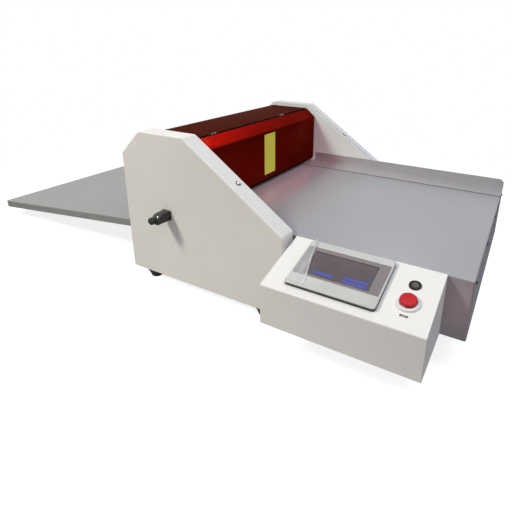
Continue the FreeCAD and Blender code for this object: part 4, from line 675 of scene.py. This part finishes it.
def rubber_feet():
    """Tapered rubber feet, each with a recess for its screw in the underside."""
    solid = bmesh.new()
    for place, height, _ in islands("feet"):
        ground = Matrix.Translation((place.translation.x, place.translation.y, 0.0))
        lathe(solid, ground, (
            (0.0, 7.0), (6.5, 7.0), (6.5, 1.4), (8.0, 0.4), (9.0, 0.0), (12.4, 0.0), (13.3, 0.5),
            (14.2, 2.2), (19.2, 16.6), (19.5, 17.4), (20.6, 18.0), (21.0, 18.8), (21.0, 21.4),
            (20.4, height), (0.0, height)))
    piece("rubber_feet", solid, "rubber", ROOT, ("feet",), 30.0)


# ---------------------------------------------------------------------------------------------
# control panel


BUTTONS_ALONG = 257.5
STOP_RISE = 58.0
START_RISE = 100.5


def buttons():
    """The red stop button in its white ring, and the black start button with its mark."""
    stop = on_panel(BUTTONS_ALONG, STOP_RISE)
    solid = bmesh.new()
    lathe(solid, stop, ((20.5, 0.0), (20.4, 1.2), (19.7, 3.3), (19.4, 4.1), (18.7, 4.7),
                        (17.8, 5.0), (15.8, 5.0), (15.4, 4.8), (15.2, 4.3), (15.2, 1.0), (7.3, 1.0),
                        (7.3, -28.0), (9.7, -28.0), (9.7, 0.0)), 72, closed=True)
    piece("stop_ring", solid, "white", ROOT, ("stop_collar",))
    solid = bmesh.new()
    lathe(solid, stop, ((6.6, -20.0), (7.0, -19.6), (7.0, 5.5), (14.0, 5.5), (14.5, 6.0),
                        (14.4, 9.9), (14.1, 10.7), (13.5, 11.3), (12.8, 11.5), (12.0, 11.45),
                        (10.8, 11.2), (7.0, 10.95), (3.0, 10.85), (0.0, 10.85)), 72)
    piece("stop_mushroom", solid, "cap_red", "stop_button", ("stop_cap",), 45.0)
    start = on_panel(BUTTONS_ALONG, START_RISE)
    solid = bmesh.new()
    lathe(solid, start, ((11.0, 0.0), (11.0, 1.4), (10.6, 2.2), (9.9, 2.5), (9.0, 2.5),
                         (8.3, 2.1), (7.9, 1.5), (7.9, -22.0), (10.3, -22.0), (10.3, 0.0)),
          56, closed=True)
    piece("start_ring", solid, "ring_black", ROOT, ("start_bezel",))
    solid = bmesh.new()
    lathe(solid, start, ((7.0, -9.0), (7.6, -8.6), (7.6, 1.0), (7.35, 1.6), (6.9, 1.9),
                         (4.0, 2.15), (0.0, 2.2)), 48)
    piece("start_push", solid, "start_face", "start_button", ("start_cap",), 45.0)
    solid = bmesh.new()
    lathe(solid, start, ((3.7, 2.1), (3.7, 2.3), (3.0, 2.3), (3.0, 2.1)), 32, closed=True)
    stroke = rounded_box(0.7, 2.6, 0.3)
    loft(solid, start, ((stroke, 2.15), (stroke, 2.35)))
    piece("start_mark", solid, "mark_grey", "start_button")


def lettering():
    """STOP below its button, printed on the panel."""
    curve = bpy.data.curves.new("stop_word", "FONT")
    curve.body = "STOP"
    curve.size = 5.4 * MM
    curve.space_character = 1.1
    curve.offset = 0.42 * MM
    curve.align_x = "CENTER"
    curve.extrude = 0.03 * MM
    scratch = bpy.data.objects.new("stop_word", curve)
    bpy.context.scene.collection.objects.link(scratch)
    mesh = bpy.data.meshes.new_from_object(
        scratch.evaluated_get(bpy.context.evaluated_depsgraph_get()))
    bpy.data.objects.remove(scratch)
    mesh.transform(on_panel(BUTTONS_ALONG + 0.5, 27.6, 0.03))
    solid = bmesh.new()
    solid.from_mesh(mesh)
    piece("stop_word", solid, "ink", ROOT)


# the touch panel, its screen and the dark band round the screen, in mm on the control panel
TOUCH_ALONG, TOUCH_RISE, TOUCH_LENGTH, TOUCH_WIDTH = 41.5, 18.0, 172.0, 122.0
SCREEN_ALONG, SCREEN_RISE, SCREEN_LENGTH, SCREEN_WIDTH = 64.0, 50.0, 127.0, 62.0
BAND_RISE, BAND_WIDTH = 45.0, 77.0
TOUCH_MIDDLE = (TOUCH_ALONG + TOUCH_LENGTH / 2, TOUCH_RISE + TOUCH_WIDTH / 2)
SCREEN_MIDDLE = (SCREEN_ALONG + SCREEN_LENGTH / 2, SCREEN_RISE + SCREEN_WIDTH / 2)
# the heights of the bezel's face and of the glass
FACE = 8.5
GLASS = 7.5


def touch_panel():
    """The operator panel: layered bezel, dark band with the screen in it, and its gasket."""
    middle = on_panel(*TOUCH_MIDDLE)

    def plate(inset, corner):
        return rounded_box(TOUCH_LENGTH - 2 * inset, TOUCH_WIDTH - 2 * inset, corner)

    def window(grow, height, corner=1.5):
        place = (SCREEN_MIDDLE[0] - TOUCH_MIDDLE[0], SCREEN_MIDDLE[1] - TOUCH_MIDDLE[1])
        return (rounded_box(SCREEN_LENGTH + 2 * grow, SCREEN_WIDTH + 2 * grow, corner, place),
                height)

    solid = bmesh.new()
    loft(solid, middle, (
        (plate(0.9, 5.2), 1.5), (plate(0.4, 5.6), 1.9), (plate(0.4, 5.6), 3.0),
        (plate(0.1, 5.9), 3.2), (plate(0.1, 5.9), 5.0), (plate(0.7, 5.4), 5.2),
        (plate(0.7, 5.4), 5.8), (plate(0.0, 6.0), 6.0), (plate(0.0, 6.0), 6.8),
        (plate(0.5, 5.6), 7.6), (plate(1.3, 5.0), 8.2), (plate(2.6, 4.2), FACE)))
    cutter = bmesh.new()
    loft(cutter, middle, (window(0.0, 4.0), window(0.0, 7.9), window(0.9, 8.8)))
    solid = carve(solid, cutter)
    inside = (SCREEN_LENGTH / 2 + 1.2, SCREEN_WIDTH / 2 + 1.2)
    # black in the foot and the groove, darker below the groove, and the screen's own frame
    for face in solid.faces:
        spots = [PANEL.inverted() @ vert.co / MM for vert in face.verts]
        spot = sum(spots, Vector()) / len(spots)
        if all(abs(place.x - SCREEN_MIDDLE[0]) < inside[0]
               and abs(place.y - SCREEN_MIDDLE[1]) < inside[1] for place in spots):
            face.material_index = 3
        elif spot.z < 3.1 or 5.05 < spot.z < 5.95:
            face.material_index = 1
        elif spot.z < 5.1:
            face.material_index = 2
    piece("touch_shell", solid, ("bezel", "ring_black", "bezel_dark", "window"), ROOT,
          ("touch_bezel",))

    solid = bmesh.new()
    outer = rounded_box(TOUCH_LENGTH - 6.4, BAND_WIDTH, 0.6,
                        (0.0, BAND_RISE + BAND_WIDTH / 2 - TOUCH_MIDDLE[1]))
    inner, _ = window(0.95, 0.0)
    loft(solid, middle, ((outer, FACE - 0.3), (outer, FACE + 0.12), (inner, FACE + 0.12),
                         (inner, FACE - 0.3)), closed=True)
    piece("touch_band", solid, "taupe", ROOT)

    solid = bmesh.new()
    loft(solid, middle, (window(0.0, GLASS - 2.0, 1.4), window(0.0, GLASS, 1.4)))
    piece("touch_glass", solid, "screen", ROOT, ("touch_screen",))

    solid = bmesh.new()
    loft(solid, middle, ((plate(0.3, 5.7), 0.0), (plate(0.0, 6.0), 0.3), (plate(0.0, 6.0), 1.2),
                         (plate(0.3, 5.7), 1.5)))
    cutter = bmesh.new()
    loft(cutter, middle, ((plate(8.4, 2.0), -1.0), (plate(8.4, 2.0), 3.0)))
    solid = carve(solid, cutter)
    piece("touch_seal", solid, "ring_black", ROOT, ("touch_gasket",))


def screen_fields():
    """What the display shows: plain blue value fields and one small teal key."""
    fields = bmesh.new()
    values = bmesh.new()
    for left, low, length, width in ((80.0, 56.5, 41.0, 7.0), (139.0, 62.5, 46.0, 6.6),
                                     (139.0, 53.4, 46.0, 6.6)):
        outline = rounded_box(length, width, 0.8)
        loft(fields, on_panel(left + length / 2, low + width / 2),
             ((outline, GLASS - 0.05), (outline, GLASS + 0.03)))
        for digit in range(int(length / 4.6)):
            outline = rounded_box(2.2, width * (0.5 if digit % 3 else 0.34), 0.4)
            loft(values, on_panel(left + 2.6 + digit * 4.5, low + width / 2),
                 ((outline, GLASS), (outline, GLASS + 0.06)))
    piece("screen_fields", fields, "field_blue", ROOT)
    piece("screen_values", values, "field_light", ROOT)
    key = bmesh.new()
    outline = rounded_box(8.5, 6.5, 1.5)
    loft(key, on_panel(181.0, 80.0), ((outline, GLASS - 0.05), (outline, GLASS + 0.03)))
    piece("screen_key", key, "field_teal", ROOT)


def film():
    """The display's clear protective film, creased where it lifts at the left."""
    solid = bmesh.new()
    columns, rows = 16, 30
    grid = []
    for row in range(rows + 1):
        share = row / rows
        # up the panel the crease leans to the left and stands higher
        rise = TOUCH_RISE + 4.0 + share * (TOUCH_WIDTH + 1.0)
        crease = 79.0 - 28.0 * share + 0.5 * math.sin(9.0 * share)
        left = TOUCH_ALONG + 2.0 + 3.0 * max(0.0, share - 0.8) * 5.0
        peak = 1.0 + 5.0 * share ** 1.5
        line = []
        for column in range(columns + 1):
            part = column / columns
            lift = FACE + 0.3 + peak * part ** 2
            lift += 0.35 * math.sin(13.0 * part + 7.0 * share) * part * (1.0 - part)
            line.append(solid.verts.new(
                on_panel(left + part * (crease - left), rise, lift).translation))
        # past the crease it falls back onto the panel
        for step in (0.35, 1.0):
            place = on_panel(crease + 0.2 + 1.2 * step, rise, FACE + 0.3 + peak * (1.0 - step) ** 2)
            line.append(solid.verts.new(place.translation))
        grid.append(line)
    # the last columns are the film's fold, in a whiter haze that is partly real haze and partly a
    # painted highlight of the crease
    for lower, upper in zip(grid, grid[1:]):
        for place in range(len(lower) - 1):
            face = solid.faces.new((lower[place], lower[place + 1], upper[place + 1], upper[place]))
            face.material_index = 1 if place >= columns - 1 else 0
    item = piece("screen_film", solid, ("film", "film_fold_haze_and_highlight"), ROOT, (), 60.0)
    thick = item.modifiers.new("film_thickness", "SOLIDIFY")
    thick.thickness = 0.1 * MM
    thick.offset = 1.0


# ---------------------------------------------------------------------------------------------
# a painted shadow along the side guide's foot


def guide_shadow_line():
    """A dark reddish strip that paints the shadow at the edge of the side guide's foot, where it lies
    on the table.
    """
    low, high = (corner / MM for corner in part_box("side_guide"))
    solid = bmesh.new()
    line = rounded_box(0.8, 1.3, 0.2, (low.y, low.z + 0.75))
    loft(solid, ALONG_X, ((line, low.x + 5.0), (line, high.x - 0.5)))
    piece("guide_shadow_line", solid, "foot_line", ROOT)


# ---------------------------------------------------------------------------------------------
# red guard and cover, and the plain patch on the cover


def bent_sheet(path, thick, bend, y_low, y_high):
    """A sheet along Y, folded at the inner points of an outer path; cut edges are slot 1."""
    path = [Vector(point) for point in path]
    steps = 6
    pairs = []
    for index, point in enumerate(path):
        before = path[index - 1] if index else None
        after = path[index + 1] if index + 1 < len(path) else None
        legs = [(b - a).normalized() for a, b in ((before, point), (point, after))
                if a is not None and b is not None]
        inward = [Vector((leg.y, -leg.x)) for leg in legs]
        if len(legs) == 1:
            pairs.append((point, point + inward[0] * thick))
            continue
        half = (inward[0] + inward[1]).normalized()
        middle = point + half * (bend / half.dot(inward[0]))
        for step in range(steps + 1):
            out = -(inward[0].lerp(inward[1], step / steps)).normalized()
            pairs.append((middle + out * bend, middle + out * (bend - thick)))
    solid = bmesh.new()
    rows = [[[solid.verts.new(Vector((spot.x * MM, y * MM, spot.y * MM))) for spot in pair]
             for pair in pairs] for y in (y_low, y_high)]
    for index in range(len(pairs) - 1):
        for side in (0, 1):
            solid.faces.new((rows[0][index][side], rows[0][index + 1][side],
                             rows[1][index + 1][side], rows[1][index][side]))
        for row in rows:
            face = solid.faces.new((row[index][0], row[index][1],
                                    row[index + 1][1], row[index + 1][0]))
            face.material_index = 1
    for index in (0, len(pairs) - 1):
        face = solid.faces.new((rows[0][index][0], rows[0][index][1],
                                rows[1][index][1], rows[1][index][0]))
        face.material_index = 1
    return solid


def red_guards():
    """The fixed guard and the hinged cover, with a black band on the guard's front edge and a black
    strip along the cover's foot: painted shade of the dark gaps.
    """
    thick = 4.0
    tilt = math.radians(39.2)
    low, high = (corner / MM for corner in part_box("guard"))
    solid = bent_sheet(((low.x, low.z), (low.x, high.z), (high.x, high.z)), thick, 5.0, low.y, high.y)
    # the last 3 mm of the guard's front edge are black: painted shade that widens the gap before the
    # cover
    painted_shade_from = (high.x - 3.0) * MM
    bmesh.ops.bisect_plane(solid, geom=[*solid.verts, *solid.edges, *solid.faces],
                           plane_co=(painted_shade_from, 0.0, 0.0), plane_no=(1.0, 0.0, 0.0))
    for face in solid.faces:
        if face.calc_center_median().x > painted_shade_from:
            face.material_index = 2
    piece("guard_sheet", solid, ("red_top_shaded", "red_edge_shade", "lip"), ROOT, ("guard",), 40.0)
    low, high = (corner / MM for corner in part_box("front_cover"))
    fold = high.z - (high.x - low.x) * math.tan(tilt)
    solid = bent_sheet(((low.x, high.z), (high.x, fold), (high.x, low.z)), thick, 4.5, low.y, high.y)
    # the lower corners are rounded
    round_over = 9.0
    steps = 8
    for y, way in ((low.y, 1.0), (high.y, -1.0)):
        corner = [(y - way, low.z - 1.0), (y + way * round_over, low.z - 1.0)]
        corner += [(y + way * round_over * (1.0 - math.sin(math.pi / 2 * step / steps)),
                    low.z + round_over * (1.0 - math.cos(math.pi / 2 * step / steps)))
                   for step in range(steps + 1)]
        corner += [(y - way, low.z + round_over)]
        cutter = bmesh.new()
        loft(cutter, ALONG_X, ((corner, high.x - 10.0), (corner, high.x + 5.0)))
        solid = carve(solid, cutter)
    piece("cover_sheet", solid, ("red", "red_edge_shade"), "cover", ("front_cover",), 40.0)
    # a black strip along the cover's foot: painted shade of the gap beneath the cover
    solid = bmesh.new()
    lip = rounded_box(0.6, 5.0, 0.2, (high.x, low.z + 2.8))
    loft(solid, ALONG_Y, ((lip, low.y + round_over), (lip, high.y - round_over)))
    piece("cover_shade_strip", solid, "lip", "cover")


def hinge_glint_washers():
    """Pale washers where a hinge's outer knuckles meet its middle one; their pale colour paints the
    hinges' glints.
    """
    inner, outer, wide, apart = 1.95, 2.25, 3.0, 10.6
    solid = bmesh.new()
    for pin, length, _ in islands("hinge_pins"):
        place = Matrix.Translation(pin @ Vector((0.0, 0.0, length / 2 * MM))) @ ALONG_Y
        for start in (-(apart + wide) / 2, (apart - wide) / 2):
            lathe(solid, place, ((inner, start), (outer, start), (outer, start + wide),
                                 (inner, start + wide)), 24, closed=True)
    piece("hinge_glint_washers", solid, "washer", ROOT)


def patch():
    """A plain yellow patch on the cover's front face."""
    middle_y, middle_z = 44.75, 284.25
    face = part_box("front_cover")[1].x
    place = Matrix.Translation((face, middle_y * MM, middle_z * MM)) @ ALONG_X
    outline = rounded_box(55.0, 113.5, 2.0)
    solid = bmesh.new()
    loft(solid, place, ((outline, 0.02), (outline, 0.2)))
    piece("cover_patch", solid, "yellow", "cover")


# ---------------------------------------------------------------------------------------------
# floor, background and light


# the floor's grey, the light it sends to the camera, and the strength of the even surround
FLOOR_TONE = 0.45
FLOOR_GLOW = 0.83
SURROUND = 0.26

# the lamp for the table's skirt hangs this far along X
SKIRT_X = table_high.x - 0.012

# each lamp's name, place, target, size, power in W and colour
LAMPS = (
    ("key", (-0.88, -1.57, 1.87), (0.07, -0.3, 0.19), 0.6, 41.5, (1.0, 0.935, 0.80)),
    ("top", (1.25, -0.3, 1.95), (0.15, 0.0, 0.2), 1.2, 18.5, (0.89, 0.94, 1.0)),
    ("rim", (0.29, 0.99, 1.42), (0.14, -0.2, 0.36), 0.26, 2.3, (1.0, 0.94, 0.9)),
    ("side", (1.9, -1.7, 0.35), (0.55, -0.2, 0.12), 1.0, 2.4, (1.0, 0.74, 0.76)),
    # the faint red that the cover throws onto the table and its skirt
    ("cover_glow", (0.172, 0.03, 0.24), (0.215, 0.03, 0.2), (0.48, 0.03), 0.045, (1.0, 0.32, 0.38)),
    ("skirt_glow", (SKIRT_X, table_low.y - 0.035, 0.14), (SKIRT_X, table_low.y, 0.14), (0.05, 0.1),
     0.0045, (1.0, 0.30, 0.34)),
)


def seen_by(tree, *kinds):
    """1 for the camera's rays and the other kinds given."""
    path = tree.nodes.new("ShaderNodeLightPath")
    total = path.outputs["Is Camera Ray"]
    for kind in kinds:
        larger = tree.nodes.new("ShaderNodeMath")
        larger.operation = "MAXIMUM"
        tree.links.new(total, larger.inputs[0])
        tree.links.new(path.outputs[kind], larger.inputs[1])
        total = larger.outputs[0]
    return total


def floor_sheet():
    """Pale paper under the machine, which fades into the white background away from it."""
    reach, fade_start, fade_end = 12.0, 0.6, 1.5
    mesh = bpy.data.meshes.new("floor")
    corners = [(-reach, -reach, 0), (reach, -reach, 0), (reach, reach, 0), (-reach, reach, 0)]
    mesh.from_pydata(corners, [], [(0, 1, 2, 3)])
    floor = bpy.data.objects.new("floor", mesh)
    bpy.context.scene.collection.objects.link(floor)
    shade = Shader("floor_paper")
    shade.set(roughness=0.9, specular_ior_level=0.1)
    shade.base.inputs["Base Color"].default_value = (FLOOR_TONE, FLOOR_TONE, FLOOR_TONE, 1.0)
    shade.bump([(shade.noise(30.0, 2.0), 0.05, 0.0002)])
    seen = seen_by(shade.tree, "Is Transmission Ray")

    def glow(strength):
        """White light for the camera's rays and those that come through clear sheet."""
        node = shade.add("ShaderNodeEmission")
        node.inputs["Color"].default_value = (1, 1, 1, 1)
        shade.link(shade.maths("MULTIPLY", seen, strength), node.inputs["Strength"])
        return node.outputs[0]

    near = shade.add("ShaderNodeAddShader")
    shade.link(shade.base.outputs[0], near.inputs[0])
    shade.link(glow(FLOOR_GLOW), near.inputs[1])
    length = shade.add("ShaderNodeVectorMath", operation="LENGTH")
    shade.link(shade.coords, length.inputs[0])
    away = shade.add("ShaderNodeMapRange", interpolation_type="SMOOTHSTEP")
    away.inputs["From Min"].default_value = fade_start
    away.inputs["From Max"].default_value = fade_end
    shade.link(length.outputs["Value"], away.inputs["Value"])
    total = shade.add("ShaderNodeMixShader")
    shade.link(away.outputs["Result"], total.inputs["Fac"])
    shade.link(near.outputs[0], total.inputs[1])
    shade.link(glow(1.0), total.inputs[2])
    shade.link(total.outputs[0], shade.nodes["Material Output"].inputs["Surface"])
    mesh.materials.append(shade.material)


def lamp(name, place, target, size, power, colour):
    """An area lamp: round for one size, or an unseen oblong one for a length and a width."""
    data = bpy.data.lights.new(name, "AREA")
    oblong = isinstance(size, tuple)
    data.shape = "RECTANGLE" if oblong else "DISK"
    data.size = size[0] if oblong else size
    if oblong:
        data.size_y = size[1]
    data.energy = power
    data.color = colour
    item = bpy.data.objects.new(name, data)
    item.location = place
    item.rotation_euler = (Vector(target) - Vector(place)).to_track_quat("-Z", "Y").to_euler()
    item.visible_camera = not oblong
    bpy.context.scene.collection.objects.link(item)


def studio():
    """A white background, a dim even surround for the light, soft lamps and two faint red ones."""
    floor_sheet()
    world = bpy.data.worlds.new("studio")
    bpy.context.scene.world = world
    world.use_nodes = True
    tree = world.node_tree
    around = tree.nodes["Background"]
    around.inputs["Color"].default_value = (0.89, 0.97, 1.09, 1.0)
    around.inputs["Strength"].default_value = SURROUND
    backdrop = tree.nodes.new("ShaderNodeBackground")
    backdrop.inputs["Color"].default_value = (1, 1, 1, 1)
    mixer = tree.nodes.new("ShaderNodeMixShader")
    tree.links.new(seen_by(tree, "Is Glossy Ray", "Is Transmission Ray"), mixer.inputs["Fac"])
    tree.links.new(around.outputs[0], mixer.inputs[1])
    tree.links.new(backdrop.outputs[0], mixer.inputs[2])
    tree.links.new(mixer.outputs[0], tree.nodes["World Output"].inputs["Surface"])
    for values in LAMPS:
        lamp(*values)


knob()
socket_screws("casing_screws", "cover_screws", "screw_steel", shank=1.95, head=2.2, washer=6.2)
socket_screws("bar_screws", "table_screws", "dark_steel", shank=1.45, head=1.9)
rubber_feet()
buttons()
lettering()
touch_panel()
screen_fields()
film()
red_guards()
hinge_glint_washers()
patch()
guide_shadow_line()
studio()
